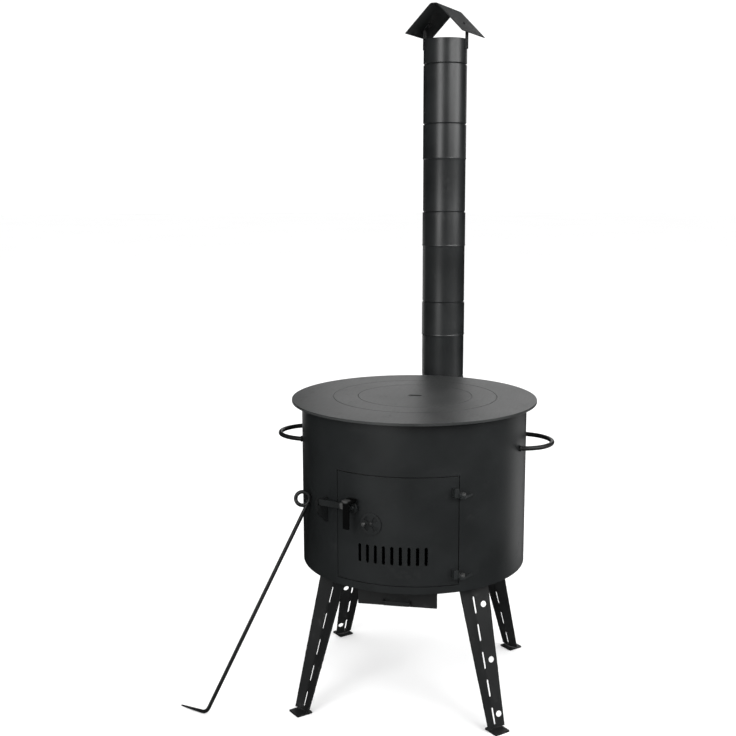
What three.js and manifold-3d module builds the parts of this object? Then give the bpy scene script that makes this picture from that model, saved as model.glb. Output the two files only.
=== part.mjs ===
// Cauldron stove: a sheet-steel drum on four folded legs, with a fire door, an ash drawer,
// a hob with a lift-out ring and centre plate, and a push-together flue under a rain cap.
// Millimetres, +Z up. The parts are made about the drum's axis, with the door to -Y and the
// flue to +Y, and the finished stove is moved so that the middle of its box is over the origin.

import * as THREE from 'three';
import { mergeVertices } from 'three/addons/utils/BufferGeometryUtils.js';
import Module from 'manifold-3d';

const wasm = await Module();
wasm.setup();

// Driving dimensions of the drum
const BODY_RADIUS = 225;
const BODY_HEIGHT = 325;
const LEG_HEIGHT = 272;
const SHELL_WALL = 3;
const FLOOR_WALL = 3;
const FLOOR_RECESS = 2;

// Gap between pieces that touch, the overrun of a cut, and the lap of two forms joined in one
const GAP = 0.3;
const OVERRUN = 5;
const SEAM_LAP = 1;

// Fineness of the round pieces
const DRUM_SEGMENTS = 60;
const RING_SEGMENTS = 48;
const PIPE_SEGMENTS = 24;
const ROUND_SEGMENTS = 12;
const SLOT_END_SEGMENTS = 4;
const ROD_SIDES = 8;

// Fire door, its opening and the stop frame behind it
const DOOR_HALF_ANGLE = 31;
const DOOR_SILL = 14;
const DOOR_HEIGHT = 211;
const DOOR_GAP = 1.5;
const STOP_WALL = 3;
const STOP_LAP = 8;
const STOP_WELD = 11;

// Door hinges: a lug on the drum carries an upright pin, and a lug of the door drops over it
const HINGE_PAST_DOOR_DEGREES = 0.5;
const HINGE_STAND_OFF = 9;
const HINGE_FROM_SILL = 14;
const HINGE_FROM_HEAD = 41;
const HINGE_PLAY = 0.4;
const PIN_RADIUS = 2.5;
const PIN_END = 2;
const LUG_EYE_RADIUS = 6;
const LUG_WALL = 5;
const LUG_LENGTH = 30;
const KNUCKLE_INSET = 8;
const KNUCKLE_WIDTH = 9;
const KNUCKLE_DEPTH = 12;
const KNUCKLE_HEIGHT = 17;
const KNUCKLE_DROP = 3;

// Rotary air vent on the door
const VENT_ANGLE = -11.7;
const VENT_FROM_SILL = 117.5;
const VENT_RADIUS = 21;
const VENT_WALL = 2;
const VENT_OPENINGS = 4;
const VENT_OPENING_INNER = 6;
const VENT_OPENING_OUTER = 16;
const VENT_OPENING_DEGREES = 38;
const RIVET_RADIUS = 2.5;
const RIVET_HEAD_RADIUS = 4.5;
const RIVET_HEAD_HEIGHT = 2;
const KNOB_RADIUS = 4;
const KNOB_HEIGHT = 8;
const KNOB_REACH = 12.5;
const KNOB_CHAMFER = 1;
const KNOB_STEM_RADIUS = 2;

// Row of air slots low on the door
const SLOT_COUNT = 9;
const SLOT_WIDTH = 6;
const SLOT_LENGTH = 36;
const SLOT_PITCH = 16;
const SLOT_ANGLE = -1.4;
const SLOT_FROM_SILL = 59;

// Door latch: a drop bar on a bolt, its folded grip, and a forked keeper on the drum
const LATCH_ANGLE = -20.5;
const LATCH_FROM_SILL = 146;
const LATCH_STAND_OFF = 6;
const BAR_WALL = 4;
const BAR_DEPTH = 12;
const BAR_PAST_KEEPER = 2.5;
const BAR_NOSE = 6;
const BOSS_RADIUS = 11;
const BOLT_RADIUS = 3;
const BOLT_HEAD_RADIUS = 5.5;
const BOLT_HEAD_HEIGHT = 4;
const BOLT_CHAMFER = 1;
const BOLT_END = 1.5;
const BOLT_PLAY = 0.4;
const SPACER_RADIUS = 6.5;
const NUT_RADIUS = 6.5;
const NUT_HEIGHT = 5;
const NUT_SIDES = 6;
const GRIP_WIDTH = 13;
const GRIP_WALL = 4;
const GRIP_LENGTH = 54;
const GRIP_RISE = 18;
const SHELF_WIDTH = 19.5;
const SHELF_DEPTH = 21;
const KEEPER_ANGLE = -38;
const KEEPER_WALL = 4;
const KEEPER_DEPTH = 27;
const KEEPER_HEIGHT = 47;
const KEEPER_PRONG = 12;
const KEEPER_LIP = 5;
const NOTCH_WIDTH = 9;

// Bow handles of round rod on the drum's sides
const HANDLE_ROD_RADIUS = 4.5;
const HANDLE_ANGLE = 90;
const HANDLE_HALF_WIDTH = 62;
const HANDLE_REACH = 51.5;
const HANDLE_FROM_TOP = 76.4;
const HANDLE_STEPS = 18;

// Legs: folded strips with slots along the fold, each on a square foot
const LEGS = {
  back_right: { degrees: 45, skew: 10, drilled: false },
  back_left: { degrees: 135, skew: 0, drilled: true },
  front_left: { degrees: 225, skew: 10, drilled: false },
  front_right: { degrees: 315, skew: 0, drilled: true },
};
const LEG_WALL = 3;
const LEG_INSET = 39.5;
const LEG_SPREAD = 81;
const LEG_FLANGE_DEGREES = 76;
const LEG_TOP_WIDTH = 36;
const LEG_FOOT_WIDTH = 20;
const LEG_SLOTS = 5;
const LEG_SLOT_WIDTH = 5;
const LEG_SLOT_LENGTH = 33;
const LEG_SLOT_FROM_FOOT = 5;
const LEG_SLOT_FROM_TOP = 32;
const LEG_HOLE_RADIUS = 6;
const LEG_HOLE_HEIGHT_SHARES = [0.083, 0.447, 0.822];
const LEG_HOLE_WIDTH_SHARE = 0.58;
const FOOT_SIDE = 34;
const FOOT_WALL = 3;
const FOOT_SHIFT = 6;

// Fire grate and the ash drawer under it
const GRATE_HALF_WIDTH = 68;
const GRATE_LENGTH = 216;
const GRATE_INSET = 47;
const GRATE_WALL = 5;
const GRATE_REST = 8;
const GRATE_SLOTS = 9;
const GRATE_SLOT_WIDTH = 6;
const GRATE_BORDER = 14;
const DRAWER_INSET = 32;
const DRAWER_HALF_WIDTH = 66;
const DRAWER_LENGTH = 250;
const DRAWER_DEPTH = 29;
const DRAWER_WALL = 1.5;
const DRAWER_LIP = 7;
const DRAWER_UNDER_FLOOR = 7.2;
const FACE_HALF_WIDTH = 76;
const FACE_HEIGHT = 35;
const FACE_WALL = 2;
const FACE_UNDER_FLOOR = 3;
const RUNNER_WALL = 2;
const RUNNER_LEDGE = 6;
const RUNNER_PLAY = 0.5;
const PULL_HALF_WIDTH = 26;
const PULL_DEPTH = 13;
const PULL_HEIGHT = 8;
const PULL_WALL = 2;
const PULL_FROM_TOP = 22;

// Hob plate, its lift-out ring and its centre plate, whose joints share a centre behind the axis
const HOB_OVERHANG = 20;
const HOB_WALL = 5;
const HOB_RING_RADIUS = 165;
const HOB_CENTRE_RADIUS = 115;
const HOB_SET_BACK = 14;
const HOB_LEDGE = 5;
const HOB_PLAY = 0.5;
const SKIRT_WALL = 3;
const SKIRT_DEPTH = 8;
const SKIRT_PLAY = 2.5;
const LIFT_SLOT_LENGTH = 28;
const LIFT_SLOT_WIDTH = 12;

// Flue: a spigot on the drum's back, an elbow, and four pipes that push into each other
const FLUE_HEIGHT = 188;
const FLUE_STAND_OFF = 225;
const FLUE_BEND = 65;
const FLUE_LAP = 40;
const FLUE_WALL = 2;
const SOCKET_RADIUS = 50.2;
const PIPE_RADIUS = 49.4;
const SPIGOT_LENGTH = 100;
const SPIGOT_WELD = 3;
const SOCKET_DEPTH = 73;
const BEAD_HEIGHT = 6;
const BEAD_RISE = 0.9;
const TAPER_HEIGHT = 4;
const BEND_STEPS = 8;
const PIPE_LENGTHS = { first: 179, second: 211, third: 200.5, top: 133.5 };

// Rain cap: a collar with two straps that carry a folded roof
const COLLAR_HEIGHT = 57.5;
const CAP_ANGLE = 76.9;
const STRAP_WIDTH = 17;
const STRAP_WALL = 2;
const STRAP_LAP = 22;
const STRAP_FOOT = 15;
const ROOF_LENGTH = 154;
const ROOF_HALF_WIDTH = 69;
const RIDGE_HALF_WIDTH = 8;
const ROOF_WALL = 2;
const ROOF_RISE = 62;
const ROOF_OVER_RIM = 9.5;
const CAP_RIVET_RADIUS = 1.8;
const CAP_RIVET_HEAD_RADIUS = 3.6;
const CAP_RIVET_HEAD_HEIGHT = 1.5;

// Poker of round rod: an eye that leans on the drum, and a toe bent along the ground
const POKER_ROD_RADIUS = 3.75;
const POKER_EYE_RADIUS = 13.2;
const POKER_EYE_DEGREES = 191;
const POKER_TOUCH_ANGLE = -53.7;
const POKER_TOUCH_RISE = 142;
const POKER_HEEL_ANGLE = -57.5;
const POKER_HEEL_SPREAD = 216;
const POKER_TOE_DEGREES = 158;
const POKER_TOE_LENGTH = 66;
const POKER_BEND = 12;
const POKER_BEND_STEPS = 5;
const POKER_EYE_SEGMENTS = 18;

const radians = THREE.MathUtils.degToRad;
const DEGREES_PER_ARC = THREE.MathUtils.RAD2DEG / BODY_RADIUS;

const BODY_TOP = LEG_HEIGHT + BODY_HEIGHT;
const SHELL_INNER = BODY_RADIUS - SHELL_WALL;
const SHELL_CLEAR = BODY_RADIUS + GAP;
const FLOOR_UNDER = LEG_HEIGHT + FLOOR_RECESS;
const FLOOR_TOP = FLOOR_UNDER + FLOOR_WALL;
const DOOR_BOTTOM = LEG_HEIGHT + DOOR_SILL;
const DOOR_TOP = DOOR_BOTTOM + DOOR_HEIGHT;
const HINGE_ANGLE = DOOR_HALF_ANGLE + HINGE_PAST_DOOR_DEGREES;

const FINISHES = {
  shell: new THREE.MeshStandardMaterial({ color: 0x26292a, roughness: 0.5, metalness: 0.35 }),
  door: new THREE.MeshStandardMaterial({ color: 0x232627, roughness: 0.5, metalness: 0.35 }),
  hob: new THREE.MeshStandardMaterial({ color: 0x3d4140, roughness: 0.34, metalness: 0.6 }),
  flue: new THREE.MeshStandardMaterial({ color: 0x2f3334, roughness: 0.4, metalness: 0.5 }),
  leg: new THREE.MeshStandardMaterial({ color: 0x222424, roughness: 0.55, metalness: 0.35 }),
  iron: new THREE.MeshStandardMaterial({ color: 0x1c1c1c, roughness: 0.75, metalness: 0.4 }),
  bright: new THREE.MeshStandardMaterial({ color: 0xa9adb0, roughness: 0.35, metalness: 0.95 }),
};

// Solids from closed geometries, and back

// Six times the volume that a closed surface holds, negative where its faces point inwards
function signedVolume(corners, faces) {
  const corner = (i) => new THREE.Vector3().fromArray(corners, 3 * i);
  let sum = 0;
  for (let i = 0; i < faces.length; i += 3) {
    sum += corner(faces[i]).dot(corner(faces[i + 1]).cross(corner(faces[i + 2])));
  }
  return sum;
}

// The solid of a closed geometry: shared corners merged, empty triangles dropped, faces outwards
function toSolid(geometry) {
  const bare = new THREE.BufferGeometry();
  bare.setAttribute('position', geometry.getAttribute('position').clone());
  if (geometry.index) bare.setIndex(geometry.index.clone());
  const merged = mergeVertices(bare);
  const corners = merged.getAttribute('position').array;
  const faces = [];
  for (let i = 0; i < merged.index.count; i += 3) {
    const [a, b, c] = merged.index.array.slice(i, i + 3);
    if (a !== b && b !== c && c !== a) faces.push(a, b, c);
  }
  if (signedVolume(corners, faces) < 0) faces.reverse();
  return new wasm.Manifold(new wasm.Mesh({
    numProp: 3,
    vertProperties: new Float32Array(corners),
    triVerts: new Uint32Array(faces),
  }));
}

function toGeometry(solid) {
  const mesh = solid.getMesh();
  const geometry = new THREE.BufferGeometry();
  geometry.setAttribute('position', new THREE.BufferAttribute(mesh.vertProperties, 3));
  geometry.setIndex(new THREE.BufferAttribute(mesh.triVerts, 1));
  geometry.computeVertexNormals();
  return geometry;
}

function combine(first, others, operation) {
  const merge = (solid, other) => solid[operation](toSolid(other));
  return toGeometry(others.reduce(merge, toSolid(first)));
}

const cut = (geometry, ...tools) => combine(geometry, tools, 'subtract');
const join = (geometry, ...others) => combine(geometry, others, 'add');
const common = (geometry, ...others) => combine(geometry, others, 'intersect');

// Basic forms

const at = (x, y, z) => new THREE.Vector3(x, y, z);

// A place by its angle from the stove's front, turning to the viewer's right, and its radius
function around(degrees, radius, height) {
  const turn = radians(degrees);
  return at(radius * Math.sin(turn), -radius * Math.cos(turn), height);
}

// A block between two opposite corners
function block(low, high) {
  const size = new THREE.Vector3().subVectors(high, low);
  const centre = new THREE.Vector3().addVectors(low, high).divideScalar(2);
  return new THREE.BoxGeometry(size.x, size.y, size.z).translate(centre.x, centre.y, centre.z);
}

// A ring or disc turned about the Z axis from a closed profile of [radius, height] pairs
function turned(profile, segments) {
  const points = profile.map(([radius, height]) => new THREE.Vector2(radius, height));
  const closed = [...points, points[0].clone()];
  return new THREE.LatheGeometry(closed, segments).rotateX(Math.PI / 2);
}

const tube = (inner, outer, low, high, segments) =>
  turned([[inner, low], [outer, low], [outer, high], [inner, high]], segments);

const disc = (radius, low, high, segments) =>
  turned([[0, low], [radius, low], [radius, high], [0, high]], segments);

const outline = (points) => new THREE.Shape(points.map(([x, y]) => new THREE.Vector2(x, y)));

const circle = (radius, x = 0, y = 0) => new THREE.Shape().absarc(x, y, radius, 0, 2 * Math.PI);

// A slot with round ends, centred on the origin, its length upright
function slot(width, length) {
  const radius = width / 2;
  const straight = length / 2 - radius;
  return new THREE.Shape()
    .absarc(0, straight, radius, 0, Math.PI)
    .absarc(0, -straight, radius, Math.PI, 2 * Math.PI);
}

// A plate of a given outline, laid flat between two heights. Each arc gets the given segments
function lying(shape, low, high, segments = ROUND_SEGMENTS) {
  const settings = { depth: high - low, bevelEnabled: false, curveSegments: segments / 2 };
  return new THREE.ExtrudeGeometry(shape, settings).translate(0, 0, low);
}

// A plate of a given outline as seen from the front, standing between two values of Y
const upright = (shape, near, far, segments = ROUND_SEGMENTS) =>
  lying(shape, -far, -near, segments).rotateX(Math.PI / 2);

// A plate with its outline in [distance from the axis, height] pairs, pointing to the front
const fin = (profile, width) => lying(outline(profile), 0, width)
  .rotateX(Math.PI / 2)
  .rotateZ(-Math.PI / 2)
  .translate(width / 2, 0, 0);

// A headed rod pointing to the front, its profile in [radius, distance from the axis] pairs
const stud = (profile) => turned(profile, ROUND_SEGMENTS).rotateX(Math.PI / 2);

// A round hole's cutter pointing to the front, between two distances from the axis
const drill = (radius, near, far) =>
  disc(radius, near - OVERRUN, far + OVERRUN, ROUND_SEGMENTS).rotateX(Math.PI / 2);

// A section carried along a path
function swept(path, shape, steps, segments) {
  const settings = { steps, extrudePath: path, bevelEnabled: false, curveSegments: segments / 2 };
  return new THREE.ExtrudeGeometry(shape, settings);
}

// The part of the drum's room between two angles from the front and two heights
function wedge(fromDegrees, toDegrees, low, high) {
  const rays = [fromDegrees, toDegrees].map((degrees) => around(degrees, 2 * BODY_RADIUS, 0));
  return lying(outline([[0, 0], ...rays.map((ray) => [ray.x, ray.y])]), low, high);
}

// A mesh with its own name and finish
function piece(name, geometry, finish) {
  const mesh = new THREE.Mesh(toGeometry(toSolid(geometry)), finish);
  mesh.name = name;
  return mesh;
}

// A group of pieces made at the front, turned to an angle and raised to a height
function station(degrees, height, ...pieces) {
  const group = new THREE.Group();
  group.rotation.z = radians(degrees);
  group.position.z = height;
  return group.add(...pieces);
}

// Drum

const FLUE_AXIS = LEG_HEIGHT + FLUE_HEIGHT;
const MALE_RADIUS = SOCKET_RADIUS - FLUE_WALL - GAP;

// Lays a flue part that was turned about the upright axis along +Y, at the outlet's height
const alongOutlet = (geometry) => geometry.rotateX(-Math.PI / 2).translate(0, 0, FLUE_AXIS);

function bodyShell() {
  const shell = tube(SHELL_INNER, BODY_RADIUS, LEG_HEIGHT, BODY_TOP, DRUM_SEGMENTS);
  const doorway = wedge(-DOOR_HALF_ANGLE, DOOR_HALF_ANGLE, DOOR_BOTTOM, DOOR_TOP);
  const outlet = disc(MALE_RADIUS + GAP, SHELL_INNER / 2, SHELL_CLEAR, PIPE_SEGMENTS);
  return cut(shell, doorway, alongOutlet(outlet));
}

const GRATE_FRONT = GRATE_INSET - BODY_RADIUS;
const GRATE_BACK = GRATE_FRONT + GRATE_LENGTH;

function bodyFloor() {
  const floor = disc(SHELL_INNER - GAP, FLOOR_UNDER, FLOOR_TOP, DRUM_SEGMENTS);
  const half = GRATE_HALF_WIDTH - GRATE_REST;
  const opening = block(
    at(-half, GRATE_FRONT + GRATE_REST, FLOOR_UNDER - OVERRUN),
    at(half, GRATE_BACK - GRATE_REST, FLOOR_TOP + OVERRUN),
  );
  return cut(floor, opening);
}

// The frame inside the doorway that the door closes against
function doorStopFrame() {
  const lap = STOP_LAP * DEGREES_PER_ARC;
  const half = DOOR_HALF_ANGLE + STOP_WELD * DEGREES_PER_ARC;
  const outer = SHELL_INNER - GAP;
  const low = FLOOR_TOP + GAP;
  const high = DOOR_TOP + STOP_WELD;
  const ring = tube(outer - STOP_WALL, outer, low, high, DRUM_SEGMENTS);
  const opening = wedge(
    lap - DOOR_HALF_ANGLE,
    DOOR_HALF_ANGLE - lap,
    DOOR_BOTTOM + STOP_LAP,
    DOOR_TOP - STOP_LAP,
  );
  return cut(common(ring, wedge(-half, half, low - OVERRUN, high + OVERRUN)), opening);
}

function fireGrate() {
  const low = FLOOR_TOP + GAP;
  const high = low + GRATE_WALL;
  const plate = block(
    at(-GRATE_HALF_WIDTH, GRATE_FRONT, low),
    at(GRATE_HALF_WIDTH, GRATE_BACK, high),
  );
  const pitch = 2 * (GRATE_HALF_WIDTH - GRATE_BORDER) / GRATE_SLOTS;
  const slots = [];
  for (let i = 0; i < GRATE_SLOTS; i += 1) {
    const x = (i - (GRATE_SLOTS - 1) / 2) * pitch;
    slots.push(block(
      at(x - GRATE_SLOT_WIDTH / 2, GRATE_FRONT + GRATE_BORDER, low - OVERRUN),
      at(x + GRATE_SLOT_WIDTH / 2, GRATE_BACK - GRATE_BORDER, high + OVERRUN),
    ));
  }
  return cut(plate, ...slots);
}

// A bow handle at the front: half an ellipse of rod, lying flat, its ends cut to the drum
function bowHandle() {
  const half = HANDLE_HALF_WIDTH;
  const root = Math.sqrt(BODY_RADIUS ** 2 - half ** 2) - HANDLE_ROD_RADIUS;
  const reach = BODY_RADIUS + HANDLE_REACH - root;
  class Bow extends THREE.Curve {
    getPoint(share, target = new THREE.Vector3()) {
      const turn = Math.PI * share;
      return target.set(-half * Math.cos(turn), -root - reach * Math.sin(turn), 0);
    }
  }
  const bow = swept(new Bow(), circle(HANDLE_ROD_RADIUS), HANDLE_STEPS, ROD_SIDES);
  return cut(bow, drumSpace(-OVERRUN, OVERRUN));
}

// Fire door

const VENT_HEIGHT = DOOR_BOTTOM + VENT_FROM_SILL;
const LATCH_HEIGHT = DOOR_BOTTOM + LATCH_FROM_SILL;

// A cutter through the drum's wall, of an outline as seen from the front
const throughWall = (shape) =>
  upright(shape, -BODY_RADIUS - OVERRUN, OVERRUN - SHELL_INNER, SLOT_END_SEGMENTS);

// Cutters for the round of openings that the vent's disc and the door each have, turned by an angle
function ventCutters(turn) {
  const half = radians(VENT_OPENING_DEGREES) / 2;
  const cutters = [];
  for (let i = 0; i < VENT_OPENINGS; i += 1) {
    const middle = 2 * Math.PI * (i + 1 / 2) / VENT_OPENINGS + turn;
    cutters.push(throughWall(new THREE.Shape()
      .absarc(0, 0, VENT_OPENING_OUTER, middle - half, middle + half)
      .absarc(0, 0, VENT_OPENING_INNER, middle + half, middle - half, true)));
  }
  return cutters;
}

function doorPanel() {
  const half = DOOR_HALF_ANGLE - DOOR_GAP * DEGREES_PER_ARC;
  const low = DOOR_BOTTOM + DOOR_GAP;
  const high = DOOR_TOP - DOOR_GAP;
  const ring = tube(SHELL_INNER, BODY_RADIUS, low, high, DRUM_SEGMENTS);
  const place = (tool, degrees, height) => tool.rotateZ(radians(degrees)).translate(0, 0, height);
  const ventHole = drill(RIVET_RADIUS + GAP, SHELL_INNER, BODY_RADIUS);
  const boltHole = drill(BOLT_RADIUS + GAP, SHELL_INNER, BODY_RADIUS);
  // The vent rests shut: the door's openings lie between the disc's
  const halfPitch = Math.PI / VENT_OPENINGS;
  const vent = [...ventCutters(halfPitch), ventHole];
  const tools = vent.map((tool) => place(tool, VENT_ANGLE, VENT_HEIGHT));
  tools.push(place(boltHole, LATCH_ANGLE, LATCH_HEIGHT));
  for (let i = 0; i < SLOT_COUNT; i += 1) {
    const degrees = SLOT_ANGLE + (i - (SLOT_COUNT - 1) / 2) * SLOT_PITCH * DEGREES_PER_ARC;
    const tool = throughWall(slot(SLOT_WIDTH, SLOT_LENGTH));
    tools.push(place(tool, degrees, DOOR_BOTTOM + SLOT_FROM_SILL));
  }
  return cut(common(ring, wedge(-half, half, low - OVERRUN, high + OVERRUN)), ...tools);
}

// The hinges' parts are made at the front, with the drum's lug standing on height 0
const HINGE_RADIUS = BODY_RADIUS + HINGE_STAND_OFF;
const HINGE_HEIGHTS = {
  lower: DOOR_BOTTOM + HINGE_FROM_SILL,
  upper: DOOR_TOP - HINGE_FROM_HEAD,
};
const EYE_LOW = LUG_WALL + GAP;
const EYE_HIGH = EYE_LOW + LUG_WALL;

// The room that the drum takes up, cut from what is fixed to its outside
function drumSpace(low, high) {
  return disc(SHELL_CLEAR, low, high, 2 * DRUM_SEGMENTS);
}

// The drum's lug: a round eye, and a gusset that tapers away along the drum
function hingeLug() {
  const eye = lying(circle(LUG_EYE_RADIUS, 0, -HINGE_RADIUS), 0, LUG_WALL);
  const gusset = lying(outline([
    [0, -SHELL_INNER], [0, -HINGE_RADIUS - LUG_EYE_RADIUS], [LUG_LENGTH, -SHELL_INNER],
  ]), 0, LUG_WALL);
  const bore = lying(circle(PIN_RADIUS + GAP, 0, -HINGE_RADIUS), -OVERRUN, LUG_WALL + OVERRUN);
  return cut(join(eye, gusset), drumSpace(-OVERRUN, LUG_WALL + OVERRUN), bore);
}

// The door's lug: an eye over the drum's lug, and a tall knuckle welded to the door
function doorEye() {
  const knuckleLow = LUG_WALL - KNUCKLE_DROP;
  const knuckleHigh = knuckleLow + KNUCKLE_HEIGHT;
  const eye = lying(circle(LUG_EYE_RADIUS, 0, -HINGE_RADIUS), EYE_LOW, EYE_HIGH);
  const tab = block(
    at(-KNUCKLE_INSET - SEAM_LAP, -HINGE_RADIUS - LUG_EYE_RADIUS, EYE_LOW),
    at(0, -SHELL_INNER, EYE_HIGH),
  );
  const knuckle = block(
    at(-KNUCKLE_INSET - KNUCKLE_WIDTH, -BODY_RADIUS - KNUCKLE_DEPTH, knuckleLow),
    at(-KNUCKLE_INSET, -SHELL_INNER, knuckleHigh),
  );
  const bore = circle(PIN_RADIUS + HINGE_PLAY, 0, -HINGE_RADIUS);
  return cut(
    join(eye, tab, knuckle),
    drumSpace(-OVERRUN, knuckleHigh + OVERRUN),
    lying(bore, -OVERRUN, knuckleHigh + OVERRUN),
  );
}

function hingePin() {
  const low = -PIN_END;
  const high = EYE_HIGH + PIN_END;
  return turned([
    [0, low], [PIN_RADIUS, low], [PIN_RADIUS, EYE_HIGH],
    [PIN_RADIUS / 2, high], [0, high],
  ], ROUND_SEGMENTS).translate(0, -HINGE_RADIUS, 0);
}

// A flat face on the drum's inside stands this far from the axis, clear of the curved wall
const INSIDE_CLEAR = SHELL_INNER - 2 * GAP;

// The vent's parts are made at the front, with the vent's axis at height 0
const DISC_BACK = SHELL_CLEAR;
const DISC_FRONT = DISC_BACK + VENT_WALL;

function ventDisc() {
  const plate = upright(circle(VENT_RADIUS), -DISC_FRONT, -DISC_BACK, 2 * ROUND_SEGMENTS);
  const bore = drill(RIVET_RADIUS + GAP, DISC_BACK, DISC_FRONT);
  const knobHole = drill(KNOB_STEM_RADIUS + GAP, DISC_BACK, DISC_FRONT);
  return cut(plate, bore, knobHole.translate(-KNOB_REACH, 0, 0), ...ventCutters(0));
}

function ventRivet() {
  const outer = DISC_FRONT + GAP;
  const inner = INSIDE_CLEAR;
  return stud([
    [0, inner - RIVET_HEAD_HEIGHT], [RIVET_HEAD_RADIUS, inner - RIVET_HEAD_HEIGHT],
    [RIVET_HEAD_RADIUS, inner], [RIVET_RADIUS, inner], [RIVET_RADIUS, outer],
    [RIVET_HEAD_RADIUS, outer], [RIVET_RADIUS, outer + RIVET_HEAD_HEIGHT],
    [0, outer + RIVET_HEAD_HEIGHT],
  ]);
}

function ventKnob() {
  const root = DISC_FRONT + GAP;
  const tip = root + KNOB_HEIGHT;
  return stud([
    [0, root - VENT_WALL], [KNOB_STEM_RADIUS, root - VENT_WALL], [KNOB_STEM_RADIUS, root],
    [KNOB_RADIUS, root], [KNOB_RADIUS, tip - KNOB_CHAMFER], [KNOB_RADIUS - KNOB_CHAMFER, tip],
    [0, tip],
  ]).translate(-KNOB_REACH, 0, 0);
}

// The latch's parts are made at the front, with the pivot's axis at height 0
const BAR_BACK = BODY_RADIUS + LATCH_STAND_OFF;
const BAR_FRONT = BAR_BACK + BAR_WALL;
const BAR_MIDDLE = (BAR_FRONT + BAR_BACK) / 2;

// The bar lies square to the pivot, and crosses the keeper's fin at this distance to its side
const KEEPER_TURN = radians(LATCH_ANGLE - KEEPER_ANGLE);
const BAR_REACH = BAR_MIDDLE * Math.tan(KEEPER_TURN) + BAR_PAST_KEEPER;

function latchBar() {
  const half = BAR_DEPTH / 2;
  const tip = -BAR_REACH - BAR_NOSE;
  const bar = outline([[0, -half], [0, half], [-BAR_REACH, half], [tip, 0], [tip, -half]]);
  const plate = upright(bar, -BAR_FRONT, -BAR_BACK);
  const boss = upright(circle(BOSS_RADIUS), -BAR_FRONT, -BAR_BACK);
  return cut(join(plate, boss), drill(BOLT_RADIUS + BOLT_PLAY, BAR_BACK, BAR_FRONT));
}

// The grip: a shelf standing out over the bar's boss, and a strip that hangs from its front edge
function latchGrip() {
  const front = -BAR_FRONT - SHELF_DEPTH;
  const halfShelf = SHELF_WIDTH / 2;
  const half = GRIP_WIDTH / 2;
  const shelf = block(
    at(-halfShelf, front, GRIP_RISE - GRIP_WALL),
    at(halfShelf, -BAR_BACK, GRIP_RISE),
  );
  const web = block(at(-half, -BAR_FRONT, 0), at(half, -BAR_BACK, GRIP_RISE));
  const strip = block(
    at(-half, front, GRIP_RISE - GRIP_LENGTH),
    at(half, front + GRIP_WALL, GRIP_RISE),
  );
  const boss = upright(circle(BOSS_RADIUS + GAP), -BAR_FRONT - OVERRUN, OVERRUN - BAR_BACK);
  return join(cut(web, boss), shelf, strip);
}

function latchSpacer() {
  const sleeve = upright(circle(SPACER_RADIUS), GAP - BAR_BACK, -SHELL_CLEAR);
  return cut(sleeve, drill(BOLT_RADIUS + GAP, SHELL_CLEAR, BAR_BACK));
}

const NUT_BACK = INSIDE_CLEAR - NUT_HEIGHT;

function latchBolt() {
  const end = NUT_BACK - BOLT_END;
  const head = BAR_FRONT + GAP;
  const top = head + BOLT_HEAD_HEIGHT;
  return stud([
    [0, end], [BOLT_RADIUS, end], [BOLT_RADIUS, head], [BOLT_HEAD_RADIUS, head],
    [BOLT_HEAD_RADIUS, top - BOLT_CHAMFER], [BOLT_HEAD_RADIUS - BOLT_CHAMFER, top], [0, top],
  ]);
}

function latchNut() {
  const nut = upright(circle(NUT_RADIUS), -INSIDE_CLEAR, -NUT_BACK, NUT_SIDES);
  return cut(nut, drill(BOLT_RADIUS + GAP, NUT_BACK, INSIDE_CLEAR));
}

// The keeper: a fin on the drum whose fork holds the bar, made at the front like the latch
function latchKeeper() {
  const crossing = BAR_MIDDLE / Math.cos(KEEPER_TURN);
  const notchInner = crossing - NOTCH_WIDTH / 2;
  const notchOuter = crossing + NOTCH_WIDTH / 2;
  const root = SHELL_CLEAR;
  const tip = root + KEEPER_DEPTH;
  const notchFloor = -BAR_DEPTH / 2 - GAP;
  const top = notchFloor + KEEPER_PRONG;
  return fin([
    [root, top], [root, top - KEEPER_HEIGHT], [tip, notchFloor - KEEPER_PRONG],
    [tip, top + KEEPER_LIP], [notchOuter, top - KEEPER_LIP], [notchOuter, notchFloor],
    [notchInner, notchFloor], [notchInner, top],
  ], KEEPER_WALL);
}

// Legs, made along +X

const LEG_TOP = FLOOR_UNDER - GAP;
const LEG_BOTTOM = FOOT_WALL + GAP;
const FOLD_TOP_REACH = BODY_RADIUS - LEG_INSET;
const FOLD_FOOT_REACH = FOLD_TOP_REACH + LEG_SPREAD;
const FOLD_FOOT = at(FOLD_FOOT_REACH, 0, LEG_BOTTOM);
const FOLD_SPAN = at(FOLD_TOP_REACH, 0, LEG_TOP).sub(FOLD_FOOT);
const FOLD_LENGTH = FOLD_SPAN.length();
const FOLD_DIRECTION = FOLD_SPAN.clone().normalize();

// How far flanges and the fold run past the leg before its ends are cut level
const LEG_SPARE = LEG_TOP_WIDTH;

// A place on the fold, or beyond an end of it, by its distance from the foot
const onFold = (distance) => FOLD_FOOT.clone().addScaledVector(FOLD_DIRECTION, distance);

// Puts a plate, drawn across and along the fold, where the fold and a direction span a plane
function foldPlate(shape, direction, thickness, segments, distance = 0) {
  const normal = new THREE.Vector3().crossVectors(direction, FOLD_DIRECTION).normalize();
  const across = new THREE.Vector3().crossVectors(FOLD_DIRECTION, normal);
  const frame = new THREE.Matrix4().makeBasis(across, FOLD_DIRECTION, normal);
  const plate = lying(shape, -thickness / 2, thickness / 2, segments);
  return plate.applyMatrix4(frame.setPosition(onFold(distance)));
}

// A flange's width at a distance from the foot
const flangeWidth = (distance) =>
  THREE.MathUtils.lerp(LEG_FOOT_WIDTH, LEG_TOP_WIDTH, distance / FOLD_LENGTH);

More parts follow.
